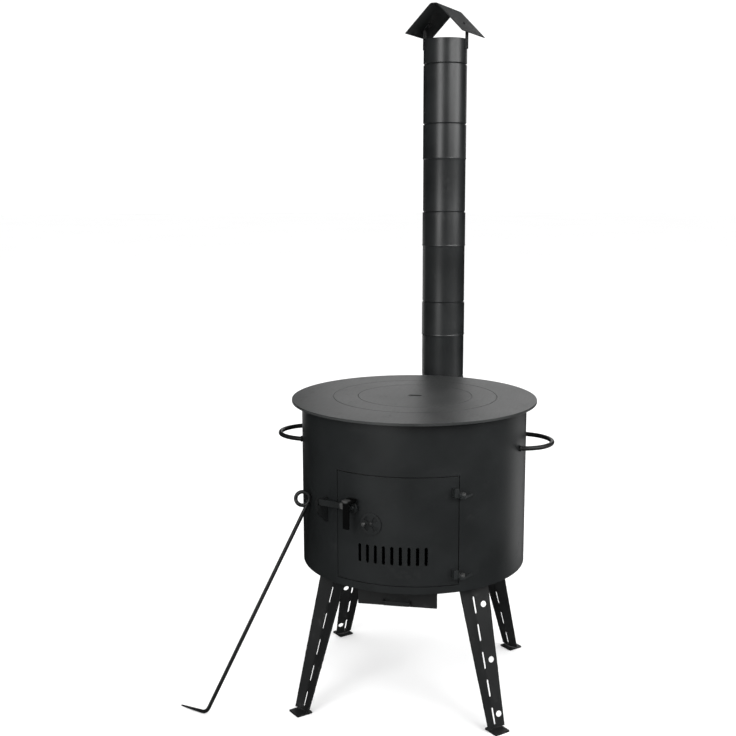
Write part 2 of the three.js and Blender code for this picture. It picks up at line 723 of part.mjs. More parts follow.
// One flange of a leg. On a drilled leg the right one, seen from outside, has round holes
function legFlange(side, skew, drilled) {
  const turn = radians(side * LEG_FLANGE_DEGREES + skew);
  const direction = at(Math.cos(turn), Math.sin(turn), 0);
  const low = -LEG_SPARE;
  const high = FOLD_LENGTH + LEG_SPARE;
  const shape = outline([[0, low], [flangeWidth(low), low], [flangeWidth(high), high], [0, high]]);
  const plate = foldPlate(shape, direction, LEG_WALL, ROD_SIDES);
  if (side < 0 || !drilled) return plate;
  const holes = LEG_HOLE_HEIGHT_SHARES.map((share) => {
    const distance = share * FOLD_LENGTH;
    const hole = circle(LEG_HOLE_RADIUS, LEG_HOLE_WIDTH_SHARE * flangeWidth(distance));
    return foldPlate(hole, direction, 2 * LEG_WALL, ROUND_SEGMENTS, distance);
  });
  return cut(plate, ...holes);
}

// A leg, turned a little about its fold where it was bolted on askew
function leg({ skew, drilled }) {
  const bendPath = new THREE.LineCurve3(onFold(-LEG_SPARE), onFold(FOLD_LENGTH + LEG_SPARE));
  const bend = swept(bendPath, circle(LEG_WALL / 2), 1, ROD_SIDES);
  const first = LEG_SLOT_FROM_FOOT + LEG_SLOT_LENGTH / 2;
  const last = FOLD_LENGTH - LEG_SLOT_FROM_TOP - LEG_SLOT_LENGTH / 2;
  const pitch = (last - first) / (LEG_SLOTS - 1);
  const slots = [];
  for (let i = 0; i < LEG_SLOTS; i += 1) {
    const shape = slot(LEG_SLOT_WIDTH, LEG_SLOT_LENGTH);
    const distance = first + i * pitch;
    slots.push(foldPlate(shape, at(0, 1, 0), LEG_TOP_WIDTH, SLOT_END_SEGMENTS, distance));
  }
  const room = block(
    at(FOLD_TOP_REACH - 2 * LEG_SPARE, -2 * LEG_SPARE, LEG_BOTTOM),
    at(FOLD_FOOT_REACH + 2 * LEG_SPARE, 2 * LEG_SPARE, LEG_TOP),
  );
  const folded = join(legFlange(-1, skew, drilled), legFlange(1, skew, drilled), bend);
  return common(cut(folded, ...slots), room);
}

function foot() {
  const middle = FOLD_FOOT_REACH + FOOT_SHIFT;
  const half = FOOT_SIDE / 2;
  return block(at(middle - half, -half, 0), at(middle + half, half, FOOT_WALL));
}

// Ash drawer

const DRAWER_FRONT = DRAWER_INSET - BODY_RADIUS;
const DRAWER_BACK = DRAWER_FRONT + DRAWER_LENGTH;
const DRAWER_TOP = FLOOR_UNDER - DRAWER_UNDER_FLOOR;
const FACE_TOP = FLOOR_UNDER - FACE_UNDER_FLOOR;
const FACE_BACK = DRAWER_FRONT - GAP;
const FACE_FRONT = FACE_BACK - FACE_WALL;

function ashDrawer() {
  const low = DRAWER_TOP - DRAWER_DEPTH;
  const half = DRAWER_HALF_WIDTH;
  const inner = half - DRAWER_WALL;
  const tray = block(at(-half, DRAWER_FRONT, low), at(half, DRAWER_BACK, DRAWER_TOP));
  const lip = block(
    at(-half - DRAWER_LIP, DRAWER_FRONT, DRAWER_TOP - DRAWER_WALL),
    at(half + DRAWER_LIP, DRAWER_BACK, DRAWER_TOP),
  );
  const room = block(
    at(-inner, DRAWER_FRONT + DRAWER_WALL, low + DRAWER_WALL),
    at(inner, DRAWER_BACK - DRAWER_WALL, DRAWER_TOP + OVERRUN),
  );
  return cut(join(tray, lip), room);
}

// A runner under the floor: a web, and a ledge turned in under the drawer's lip
function drawerRunner(side) {
  const inner = DRAWER_HALF_WIDTH + DRAWER_LIP + RUNNER_PLAY;
  const outer = inner + RUNNER_WALL;
  const top = FLOOR_UNDER - GAP;
  const ledge = DRAWER_TOP - DRAWER_WALL - GAP;
  const low = ledge - RUNNER_WALL;
  const section = [
    [inner, top], [outer, top], [outer, low],
    [inner - RUNNER_LEDGE, low], [inner - RUNNER_LEDGE, ledge], [inner, ledge],
  ];
  const shape = outline(section.map(([x, z]) => [side * x, z]));
  return upright(shape, DRAWER_FRONT + RUNNER_WALL, DRAWER_BACK);
}

function drawerFace() {
  return block(
    at(-FACE_HALF_WIDTH, FACE_FRONT, FACE_TOP - FACE_HEIGHT),
    at(FACE_HALF_WIDTH, FACE_BACK, FACE_TOP),
  );
}

// The drawer's pull: a strip folded into a bow that stands out from the face
function drawerPull() {
  const far = FACE_FRONT - GAP;
  const near = far - PULL_DEPTH;
  const top = FACE_TOP - PULL_FROM_TOP;
  const low = top - PULL_HEIGHT;
  const inner = PULL_HALF_WIDTH - PULL_WALL;
  const bow = block(at(-PULL_HALF_WIDTH, near, low), at(PULL_HALF_WIDTH, far, top));
  const fingers = block(
    at(-inner, near + PULL_WALL, low - OVERRUN),
    at(inner, far + OVERRUN, top + OVERRUN),
  );
  return cut(bow, fingers);
}

// Hob

const HOB_LOW = BODY_TOP + GAP;
const HOB_TOP = HOB_LOW + HOB_WALL;
const LEDGE_TOP = HOB_LOW + (HOB_WALL - GAP) / 2;

// The form of a joint of the hob, wide above its ledge: a hole, or with a play what drops in
function jointDisc(radius, play, low, high) {
  const ledge = LEDGE_TOP + (play > 0 ? GAP : 0);
  const neck = radius - HOB_LEDGE - play;
  return turned([
    [0, low], [neck, low], [neck, ledge], [radius - play, ledge], [radius - play, high], [0, high],
  ], RING_SEGMENTS).translate(0, HOB_SET_BACK, 0);
}

const jointHole = (radius) => jointDisc(radius, 0, HOB_LOW - OVERRUN, HOB_TOP + OVERRUN);

function hobPlate() {
  const plate = disc(BODY_RADIUS + HOB_OVERHANG, HOB_LOW, HOB_TOP, DRUM_SEGMENTS);
  const outer = SHELL_INNER - SKIRT_PLAY;
  const skirt = tube(outer - SKIRT_WALL, outer, HOB_LOW - SKIRT_DEPTH, LEDGE_TOP, DRUM_SEGMENTS);
  return cut(join(plate, skirt), jointHole(HOB_RING_RADIUS));
}

function hobRing() {
  const ring = jointDisc(HOB_RING_RADIUS, HOB_PLAY, HOB_LOW, HOB_TOP);
  return cut(ring, jointHole(HOB_CENTRE_RADIUS));
}

function hobCentre() {
  const liftSlot = block(
    at(-LIFT_SLOT_LENGTH / 2, HOB_SET_BACK - LIFT_SLOT_WIDTH / 2, HOB_LOW - OVERRUN),
    at(LIFT_SLOT_LENGTH / 2, HOB_SET_BACK + LIFT_SLOT_WIDTH / 2, HOB_TOP + OVERRUN),
  );
  return cut(jointDisc(HOB_CENTRE_RADIUS, HOB_PLAY, HOB_LOW, HOB_TOP), liftSlot);
}

// Flue

const FLUE_SETBACK = BODY_RADIUS + FLUE_STAND_OFF;
const SOCKET_INNER = SOCKET_RADIUS - FLUE_WALL;
const SPIGOT_END = BODY_RADIUS + SPIGOT_LENGTH;
const ELBOW_MOUTH = SPIGOT_END - FLUE_LAP;
const ELBOW_TOP = FLUE_AXIS + FLUE_BEND + FLUE_LAP;

// The outlet reaches a little further in than the shell's edge round it
function flueSpigot() {
  const near = Math.sqrt(SHELL_INNER ** 2 - MALE_RADIUS ** 2) - SPIGOT_WELD;
  return alongOutlet(tube(MALE_RADIUS - FLUE_WALL, MALE_RADIUS, near, SPIGOT_END, PIPE_SEGMENTS));
}

// A solid quarter bend with a straight end at each side, each run past the elbow by a length
function elbowCore(radius, past) {
  const bendStart = FLUE_SETBACK - FLUE_BEND;
  const bendTop = FLUE_AXIS + FLUE_BEND;
  class QuarterBend extends THREE.Curve {
    getPoint(share, target = new THREE.Vector3()) {
      const turn = share * Math.PI / 2;
      const y = bendStart + FLUE_BEND * Math.sin(turn);
      return target.set(0, y, bendTop - FLUE_BEND * Math.cos(turn));
    }
  }
  const bend = swept(new QuarterBend(), circle(radius), BEND_STEPS, PIPE_SEGMENTS);
  const mouth = disc(radius, ELBOW_MOUTH - past, bendStart + SEAM_LAP, PIPE_SEGMENTS);
  const top = disc(radius, bendTop - SEAM_LAP, ELBOW_TOP + past, PIPE_SEGMENTS);
  return join(bend, alongOutlet(mouth), top.translate(0, FLUE_SETBACK, 0));
}

const flueElbow = () => cut(elbowCore(SOCKET_RADIUS, 0), elbowCore(SOCKET_INNER, OVERRUN));

// A pipe's profile over a visible joint: its narrowed end, which pushes into the pipe below, and
// above it a wall whose outer line is given in [radius, height] pairs
function pipeProfile(low, wall) {
  const outer = [[MALE_RADIUS, low - FLUE_LAP], [MALE_RADIUS, low], ...wall];
  const inner = outer.map(([radius, height]) => [radius - FLUE_WALL, height]).reverse();
  return [...outer, ...inner];
}

// A pipe between two visible joints, widened to a socket above its stop bead
function beadedPipe(low, high) {
  const socket = high - SOCKET_DEPTH;
  return turned(pipeProfile(low, [
    [PIPE_RADIUS, low + TAPER_HEIGHT], [PIPE_RADIUS, socket - BEAD_HEIGHT],
    [SOCKET_RADIUS + BEAD_RISE, socket - BEAD_HEIGHT / 2], [SOCKET_RADIUS, socket],
    [SOCKET_RADIUS, high],
  ]), PIPE_SEGMENTS);
}

// A plain pipe or collar, as wide as a socket all the way up
const plainPipe = (low, high) => turned(pipeProfile(low, [
  [SOCKET_RADIUS, low + TAPER_HEIGHT], [SOCKET_RADIUS, high],
]), PIPE_SEGMENTS);

// The pipes one above the other, and the height at which the cap's collar starts
function fluePipes() {
  let low = ELBOW_TOP + GAP;
  const pipes = [];
  for (const [name, length] of Object.entries(PIPE_LENGTHS)) {
    const make = name === 'top' ? plainPipe : beadedPipe;
    pipes.push(piece(`pipe_${name}`, make(low, low + length - GAP), FINISHES.flue));
    low += length;
  }
  return { pipes, top: low };
}

// Rain cap, made on the flue's own axis, with one strap at the front and the visible joint
// under its collar at height 0

const ROOF_SLOPE = Math.atan2(ROOF_RISE, ROOF_HALF_WIDTH - RIDGE_HALF_WIDTH);
const EAVE = COLLAR_HEIGHT + ROOF_OVER_RIM;
const STRAP_INNER = SOCKET_RADIUS + GAP;
const STRAP_OUTER = STRAP_INNER + STRAP_WALL;

// Height of a surface that lies a depth under the roof's slope, at a distance from the axis
const underRoof = (reach, depth) =>
  EAVE + (ROOF_HALF_WIDTH - reach) * Math.tan(ROOF_SLOPE) - depth / Math.cos(ROOF_SLOPE);

// The thickness of sheet that each rivet holds, with a play for the collar's curve
const COLLAR_GRIP = STRAP_OUTER - SOCKET_INNER + GAP;
const ROOF_GRIP = ROOF_WALL + GAP + STRAP_WALL;

// A rivet about Z with a head at each end, whose sheets lie under height 0
function capRivet(grip) {
  const head = CAP_RIVET_HEAD_RADIUS;
  const low = -grip - GAP;
  const high = GAP + CAP_RIVET_HEAD_HEIGHT;
  return turned([
    [0, low - CAP_RIVET_HEAD_HEIGHT], [head, low - CAP_RIVET_HEAD_HEIGHT], [head, low],
    [CAP_RIVET_RADIUS, low], [CAP_RIVET_RADIUS, GAP], [head, GAP],
    [CAP_RIVET_RADIUS, high], [0, high],
  ], ROD_SIDES);
}

const capRivetHole = (grip) =>
  disc(CAP_RIVET_RADIUS + GAP, -grip - OVERRUN, OVERRUN, ROD_SIDES);

// Puts a rivet or its hole through the strap and the collar
const atCollar = (geometry) => geometry
  .rotateX(Math.PI / 2)
  .translate(0, -STRAP_OUTER, COLLAR_HEIGHT - STRAP_LAP / 2);

// Puts a rivet or its hole through the roof and the strap's foot
function atRoof(geometry) {
  const reach = STRAP_OUTER - STRAP_FOOT / 2;
  return geometry.rotateX(ROOF_SLOPE).translate(0, -reach, underRoof(reach, 0));
}

// The collar's facets line up with those of the pipe that it pushes into
function capCollar() {
  const collar = plainPipe(0, COLLAR_HEIGHT).rotateZ(-radians(CAP_ANGLE));
  const hole = () => atCollar(capRivetHole(COLLAR_GRIP));
  return cut(collar, hole(), hole().rotateZ(Math.PI));
}

function capStrap() {
  const low = COLLAR_HEIGHT - STRAP_LAP;
  const footReach = STRAP_OUTER - STRAP_FOOT;
  const footTop = ROOF_WALL + GAP;
  const footUnder = footTop + STRAP_WALL;
  const strap = fin([
    [STRAP_INNER, low], [STRAP_OUTER, low],
    [STRAP_OUTER, underRoof(STRAP_OUTER, footTop)], [footReach, underRoof(footReach, footTop)],
    [footReach, underRoof(footReach, footUnder)], [STRAP_INNER, underRoof(STRAP_INNER, footUnder)],
  ], STRAP_WIDTH);
  return cut(strap, atCollar(capRivetHole(COLLAR_GRIP)), atRoof(capRivetHole(ROOF_GRIP)));
}

function capRoof() {
  const ridge = underRoof(RIDGE_HALF_WIDTH, 0);
  const half = [
    [RIDGE_HALF_WIDTH, ridge], [ROOF_HALF_WIDTH, EAVE],
    [ROOF_HALF_WIDTH, underRoof(ROOF_HALF_WIDTH, ROOF_WALL)],
    [RIDGE_HALF_WIDTH - ROOF_WALL * Math.tan(ROOF_SLOPE / 2), ridge - ROOF_WALL],
  ];
  const mirrored = half.map(([reach, height]) => [-reach, height]).reverse();
  const hole = () => atRoof(capRivetHole(ROOF_GRIP));
  return cut(fin([...half, ...mirrored], ROOF_LENGTH), hole(), hole().rotateZ(Math.PI));
}

function rainCap() {
  const side = (name, degrees) => station(degrees, 0,
    piece(`cap_strap_${name}`, capStrap(), FINISHES.flue),
    piece(`cap_rivet_${name}_low`, atCollar(capRivet(COLLAR_GRIP)), FINISHES.bright),
    piece(`cap_rivet_${name}_high`, atRoof(capRivet(ROOF_GRIP)), FINISHES.bright));
  return [
    piece('cap_collar', capCollar(), FINISHES.flue),
    piece('cap_roof', capRoof(), FINISHES.flue),
    side('right', 0),
    side('left', 180),
  ];
}

// Poker

// A straight stretch of the poker's rod between two places
const pokerRod = (from, to) =>
  swept(new THREE.LineCurve3(from, to), circle(POKER_ROD_RADIUS), 1, ROD_SIDES);

// The eye: a ring of rod in the plane of the shaft and of a direction square to it
function pokerEye(centre, shaft, across) {
  const section = [];
  for (let i = 0; i < ROD_SIDES; i += 1) {
    const turn = 2 * Math.PI * i / ROD_SIDES;
    const radius = POKER_EYE_RADIUS + POKER_ROD_RADIUS * Math.cos(turn);
    section.push([radius, POKER_ROD_RADIUS * Math.sin(turn)]);
  }
  const normal = new THREE.Vector3().crossVectors(across, shaft);
  const frame = new THREE.Matrix4().makeBasis(across, shaft, normal).setPosition(centre);
  return turned(section, POKER_EYE_SEGMENTS).applyMatrix4(frame);
}

// The poker stands on its heel. Its shaft leans on the drum and bends round into an eye at its side
function poker() {
  const ground = POKER_ROD_RADIUS + GAP;
  const heel = around(POKER_HEEL_ANGLE, BODY_RADIUS + POKER_HEEL_SPREAD, ground);
  const toeTurn = radians(POKER_TOE_DEGREES);
  const toeward = at(Math.cos(toeTurn), Math.sin(toeTurn), 0);
  const eyeTurn = radians(POKER_EYE_DEGREES);
  const sideways = at(Math.cos(eyeTurn), Math.sin(eyeTurn), 0);
  const outward = around(POKER_TOUCH_ANGLE, 1, 0);
  const leaning = (spread) => {
    const touch = around(POKER_TOUCH_ANGLE, spread, LEG_HEIGHT + POKER_TOUCH_RISE);
    const shaft = new THREE.Vector3().subVectors(touch, heel).normalize();
    const across = sideways.clone().addScaledVector(shaft, -sideways.dot(shaft)).normalize();
    return { touch, shaft, across };
  };

  // Above the touch the eye swings nearer to the drum, so the whole poker stands off by that much
  const seat = SHELL_CLEAR + POKER_ROD_RADIUS;
  const rough = leaning(seat);
  const spreading = rough.across.dot(outward);
  const swing = Math.hypot(rough.shaft.dot(outward), spreading) - spreading;
  const { touch, shaft, across } = leaning(seat + POKER_EYE_RADIUS * swing);
  const from = (start, direction, distance) => start.clone().addScaledVector(direction, distance);

  const bendPath = new THREE.QuadraticBezierCurve3(
    from(heel, toeward, POKER_BEND),
    heel,
    from(heel, shaft, POKER_BEND),
  );
  const bend = swept(bendPath, circle(POKER_ROD_RADIUS), POKER_BEND_STEPS, ROD_SIDES);
  const overlap = POKER_BEND - SEAM_LAP;
  const toe = pokerRod(from(heel, toeward, POKER_TOE_LENGTH), from(heel, toeward, overlap));
  const stem = pokerRod(from(heel, shaft, overlap), from(touch, shaft, SEAM_LAP));
  const centre = from(touch, across, POKER_EYE_RADIUS);
  return join(bend, toe, stem, pokerEye(centre, shaft, across));
}

// Assembly

const stove = new THREE.Group();

stove.add(
  piece('body_shell', bodyShell(), FINISHES.shell),
  piece('body_floor', bodyFloor(), FINISHES.shell),
  piece('door_stop_frame', doorStopFrame(), FINISHES.iron),
  piece('fire_grate', fireGrate(), FINISHES.iron),
  piece('door_panel', doorPanel(), FINISHES.door),
);

for (const [name, height] of Object.entries(HINGE_HEIGHTS)) {
  stove.add(station(HINGE_ANGLE, height,
    piece(`hinge_lug_${name}`, hingeLug(), FINISHES.shell),
    piece(`hinge_pin_${name}`, hingePin(), FINISHES.iron),
    piece(`door_eye_${name}`, doorEye(), FINISHES.door)));
}

stove.add(
  station(VENT_ANGLE, VENT_HEIGHT,
    piece('vent_disc', ventDisc(), FINISHES.door),
    piece('vent_rivet', ventRivet(), FINISHES.bright),
    piece('vent_knob', ventKnob(), FINISHES.bright)),
  station(LATCH_ANGLE, LATCH_HEIGHT,
    piece('latch_bar', latchBar(), FINISHES.door),
    piece('latch_grip', latchGrip(), FINISHES.door),
    piece('latch_spacer', latchSpacer(), FINISHES.iron),
    piece('latch_bolt', latchBolt(), FINISHES.iron),
    piece('latch_nut', latchNut(), FINISHES.iron)),
  station(KEEPER_ANGLE, LATCH_HEIGHT, piece('latch_keeper', latchKeeper(), FINISHES.shell)),
  station(-HANDLE_ANGLE, BODY_TOP - HANDLE_FROM_TOP,
    piece('handle_left', bowHandle(), FINISHES.iron)),
  station(HANDLE_ANGLE, BODY_TOP - HANDLE_FROM_TOP,
    piece('handle_right', bowHandle(), FINISHES.iron)),
);

for (const [name, fitted] of Object.entries(LEGS)) {
  stove.add(station(fitted.degrees, 0,
    piece(`leg_${name}`, leg(fitted), FINISHES.leg),
    piece(`foot_${name}`, foot(), FINISHES.leg)));
}

stove.add(
  piece('drawer_runner_left', drawerRunner(-1), FINISHES.shell),
  piece('drawer_runner_right', drawerRunner(1), FINISHES.shell),
  piece('ash_drawer', ashDrawer(), FINISHES.iron),
  piece('drawer_face', drawerFace(), FINISHES.leg),
  piece('drawer_pull', drawerPull(), FINISHES.leg),
  piece('hob_plate', hobPlate(), FINISHES.hob),
  piece('hob_ring', hobRing(), FINISHES.hob),
  piece('hob_centre', hobCentre(), FINISHES.hob),
  piece('flue_spigot', flueSpigot(), FINISHES.flue),
  piece('flue_elbow', flueElbow(), FINISHES.flue),
  piece('poker', poker(), FINISHES.iron),
);

const stack = fluePipes();
const flue = new THREE.Group().add(...stack.pipes, station(CAP_ANGLE, stack.top, ...rainCap()));
flue.position.y = FLUE_SETBACK;
stove.add(flue);

// The middle of the stove's box goes over the origin, to a whole millimetre
stove.updateMatrixWorld(true);
const middle = new THREE.Box3().setFromObject(stove, true).getCenter(new THREE.Vector3());
stove.position.set(-Math.round(middle.x), -Math.round(middle.y), 0);

export default stove;
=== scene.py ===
"""Cauldron stove: the visual model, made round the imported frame.

Lengths are metres. Pieces are worked out about the drum's own upright axis, with the fire door to the
front (-Y), and are carried to where the frame has that axis. An angle round the drum starts at the
front and grows towards the viewer's right.
"""

import logging
import math
from collections.abc import Callable
from dataclasses import dataclass, field
from enum import Enum

import bmesh
import bpy
import numpy as np
from mathutils import Matrix, Vector
from mathutils.geometry import delaunay_2d_cdt


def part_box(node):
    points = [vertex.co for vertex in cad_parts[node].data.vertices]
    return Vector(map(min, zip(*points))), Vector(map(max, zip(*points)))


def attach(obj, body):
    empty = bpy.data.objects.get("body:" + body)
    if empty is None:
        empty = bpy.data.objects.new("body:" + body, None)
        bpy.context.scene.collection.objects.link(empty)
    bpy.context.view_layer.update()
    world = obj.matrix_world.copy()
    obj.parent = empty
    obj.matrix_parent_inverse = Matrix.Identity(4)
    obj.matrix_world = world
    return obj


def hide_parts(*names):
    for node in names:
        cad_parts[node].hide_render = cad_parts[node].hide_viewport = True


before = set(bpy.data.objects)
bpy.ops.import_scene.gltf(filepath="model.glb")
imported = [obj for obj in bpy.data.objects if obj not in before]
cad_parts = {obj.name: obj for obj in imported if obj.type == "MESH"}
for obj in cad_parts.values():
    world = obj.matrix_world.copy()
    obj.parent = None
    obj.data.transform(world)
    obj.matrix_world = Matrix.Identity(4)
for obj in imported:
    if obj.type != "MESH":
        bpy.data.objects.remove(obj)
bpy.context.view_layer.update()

LOG = logging.getLogger("stove")
Array = np.ndarray
Place = Callable[[Array, Array, Array], Array]

MM = 0.001
PLAY = 0.3 * MM
TURN = 2 * math.pi
UP = np.array([0.0, 0.0, 1.0])
RIGHT = np.array([1.0, 0.0, 0.0])
SAME_PLACE = 1e-6
SAME_POINT = 1e-9
SHARP = math.radians(32)
BEVEL_STEPS = 2

# How far apart the points of a flat pattern lie, and how clear they stay of its edges, as a share of that
FINE, MEDIUM, COARSE = 3 * MM, 4 * MM, 6 * MM
EDGE_SHARE = 0.45

# The points round a rod or a bore, on a slot's round end, on a small corner and across a weld's bead
ROUND, HALF_ROUND, CORNER, BEAD = 20, 9, 6, 8

# Turns that lay an upright axis down, to the front and to the back
TO_FRONT = [[1, 0, 0], [0, 0, -1], [0, 1, 0]]
TO_BACK = [[1, 0, 0], [0, 0, 1], [0, -1, 0]]

# The Mix node's places for colours: the two that go in and the one that comes out
FIRST_COLOUR, SECOND_COLOUR, MIXED_COLOUR = 6, 7, 2

# Places that a piece shares with the painted highlights on its finish, made as rubbed spots of bare steel
HINGE_TURN = 31.5
HINGE_REACH = 234 * MM
HINGE_LOWS = {"lower": 300 * MM, "upper": 456 * MM}
LATCH_TURN = -20.5
LATCH_HEIGHT = 432 * MM
BAR_FRONT = 235 * MM


def drum_axis() -> Array:
    """The foot of the drum's axis in the frame: the middle of the shell's box, on the ground."""
    low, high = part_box("body_shell")
    return np.array([(low.x + high.x) / 2, (low.y + high.y) / 2, 0.0])


AXIS = drum_axis()


class Slot(Enum):
    """The record's material slots that the pieces take."""

    BODY = "body_paint"
    HOB = "hob_steel"
    FLUE = "flue_paint"
    FASTENER = "fastener_steel"
    POKER = "poker_steel"


class Pattern(Enum):
    """What runs over a finish besides its grain."""

    SPRAYED = "sprayed"
    ROLLED = "rolled"
    DRAWN = "drawn"
    PLATED = "plated"


# Flat outlines


def run(points: list[tuple[float, float]], pitch: float) -> Array:
    """A closed outline with points along its straight edges.

    Args:
        points: the outline's corners in order.
        pitch: the widest gap between two points.

    Returns:
        Points of shape (n, 2): corner + share * (next corner - corner) on each edge.
    """
    corners = np.array(points, float)
    parts = []
    for start, end in zip(corners, np.roll(corners, -1, axis=0)):
        count = max(1, math.ceil(np.linalg.norm(end - start) / pitch))
        share = np.arange(count)[:, None] / count
        parts.append(start + share * (end - start))
    return np.vstack(parts)


def arc(radius: float, start: float, end: float, count: int, centre: tuple = (0.0, 0.0)) -> Array:
    """Points on an arc from one angle to another, in degrees: centre + radius * (cos a, sin a)."""
    angle = np.radians(np.linspace(start, end, count))
    return np.stack([np.cos(angle), np.sin(angle)], axis=1) * radius + np.array(centre)


def circle(radius: float, count: int, centre: tuple = (0.0, 0.0)) -> Array:
    """Points round a whole circle."""
    return arc(radius, 0, 360, count + 1, centre)[:-1]


def stadium(width: float, length: float, centre: tuple = (0.0, 0.0)) -> Array:
    """An upright slot with round ends: two half circles, half a width in from each end.

    Args:
        width: the slot's width.
        length: its length from end to end.
        centre: its middle.

    Returns:
        The slot's outline.
    """
    radius, middle = width / 2, np.array(centre)
    straight = np.array([0.0, length / 2 - radius])
    top = arc(radius, 0, 180, HALF_ROUND) + straight
    bottom = arc(radius, 180, 360, HALF_ROUND) - straight
    return np.vstack([top, bottom]) + middle


def rounded(width: float, height: float, radius: float, pitch: float, centre: tuple = (0.0, 0.0)) -> Array:
    """A rectangle with round corners: a quarter circle about each corner's centre.

    Args:
        width: the rectangle's width.
        height: its height.
        radius: its corners' radius.
        pitch: the widest gap between two points.
        centre: its middle.

    Returns:
        The rectangle's outline.
    """
    half = np.array([width / 2 - radius, height / 2 - radius])
    signs = [(1, 1), (-1, 1), (-1, -1), (1, -1)]
    corners = [arc(radius, 90 * i, 90 * i + 90, CORNER) + half * sign for i, sign in enumerate(signs)]
    return run(np.vstack(corners).tolist(), pitch) + np.array(centre)


def inside(points: Array, loop: Array) -> Array:
    """Tells which points lie in a loop: a ray to the right crosses its edges an odd number of times.

    Args:
        points: points of shape (n, 2).
        loop: a closed outline.

    Returns:
        True for each point that lies in the loop.
    """
    ends = np.roll(loop, -1, axis=0)
    x, y = points[:, 0, None], points[:, 1, None]
    spans = (loop[:, 1] > y) != (ends[:, 1] > y)
    rise = np.where(ends[:, 1] == loop[:, 1], 1.0, ends[:, 1] - loop[:, 1])
    crossing = loop[:, 0] + (y - loop[:, 1]) * (ends[:, 0] - loop[:, 0]) / rise
    return (spans & (x < crossing)).sum(axis=1) % 2 == 1


def filling(loops: list[Array], pitch: Array) -> Array:
    """A grid of points in an outline and outside its holes, kept clear of every edge.

    Args:
        loops: the outline, then its holes.
        pitch: the grid's pitch across and along.

    Returns:
        The grid's points, each farther from an edge than a fixed share of the pitch.
    """
    low, high = loops[0].min(axis=0), loops[0].max(axis=0)
    counts = np.maximum(np.round((high - low) / pitch), 1).astype(int)
    lines = [np.linspace(low[i], high[i], counts[i] + 1)[1:-1] for i in (0, 1)]
    grid = np.stack(np.meshgrid(*lines), axis=-1).reshape(-1, 2)
    if not len(grid):
        return grid
    keep = inside(grid, loops[0])
    for hole in loops[1:]:
        keep &= ~inside(grid, hole)
    edge = np.vstack(loops)
    gap = ((grid[:, None, 0] - edge[:, 0]) ** 2 + (grid[:, None, 1] - edge[:, 1]) ** 2).min(axis=1)
    return grid[keep & (gap > (EDGE_SHARE * pitch.min()) ** 2)]


# Surfaces


@dataclass
class Skin:
    """Closed surfaces: points of shape (n, 3), and arrays of faces that index them."""

    points: Array
    faces: list[Array]

    def __add__(self, other: "Skin") -> "Skin":
        """Both skins as one, without joining them."""
        shifted = [faces + len(self.points) for faces in other.faces]
        return Skin(np.vstack([self.points, other.points]), self.faces + shifted)

    def moved(self, offset: tuple[float, float, float]) -> "Skin":
        """The skin shifted by an offset."""
        return Skin(self.points + np.array(offset), self.faces)

    def turned(self, degrees: float) -> "Skin":
        """The skin turned round the upright axis: (x cos a - y sin a, x sin a + y cos a, z)."""
        c, s = math.cos(math.radians(degrees)), math.sin(math.radians(degrees))
        return self.laid([[c, -s, 0], [s, c, 0], [0, 0, 1]])

    def laid(self, rows: list[list[float]]) -> "Skin":
        """The skin carried by a matrix that only turns."""
        return Skin(self.points @ np.array(rows, float).T, self.faces)

    def outward(self) -> "Skin":
        """Points the faces out, told by the sign of the volume that they enclose.

        Returns:
            The skin itself, or the same with every face turned over.
        """
        volume = 0.0
        for faces in self.faces:
            first = self.points[faces[:, 0]]
            for i in range(1, faces.shape[1] - 1):
                second, third = self.points[faces[:, i]], self.points[faces[:, i + 1]]
                volume += float(np.einsum("ij,ij->", first, np.cross(second, third)))
        return self if volume > 0 else Skin(self.points, [faces[:, ::-1] for faces in self.faces])


def grid_skin(points: Array, wrap_rows: bool, wrap_columns: bool) -> Skin:
    """A grid of points as quads, each joining four neighbours.

    Args:
        points: the grid, of shape (rows, columns, 3).
        wrap_rows: whether its last row meets its first.
        wrap_columns: whether its last column meets its first.

    Returns:
        The grid's skin.
    """
    rows, columns = points.shape[:2]
    index = np.arange(rows * columns).reshape(rows, columns)
    if wrap_rows:
        index = np.vstack([index, index[:1]])
    if wrap_columns:
        index = np.hstack([index, index[:, :1]])
    quads = np.stack([index[:-1, :-1], index[:-1, 1:], index[1:, 1:], index[1:, :-1]], axis=-1)
    return Skin(points.reshape(-1, 3), [quads.reshape(-1, 4)])


def lathe(profile: list[tuple], segments: int) -> Skin:
    """A profile carried round the upright axis.

    Args:
        profile: (radius, height) pairs, or (radius, height, set-back) where a ring lies off the axis.
        segments: how many steps make a whole turn.

    Returns:
        The skin of (r sin a, set-back - r cos a, height). A profile that starts on the axis ends
        there too, and any other closes on itself.
    """
    rings = np.array([(*ring, 0.0)[:3] for ring in profile])
    angle = np.arange(segments) * TURN / segments
    radius, height, back = (rings[:, i, None] for i in range(3))
    x, y = radius * np.sin(angle), back - radius * np.cos(angle)
    points = np.stack(np.broadcast_arrays(x, y, height), axis=-1)
    return grid_skin(points, rings[0, 0] > 0, True).outward()


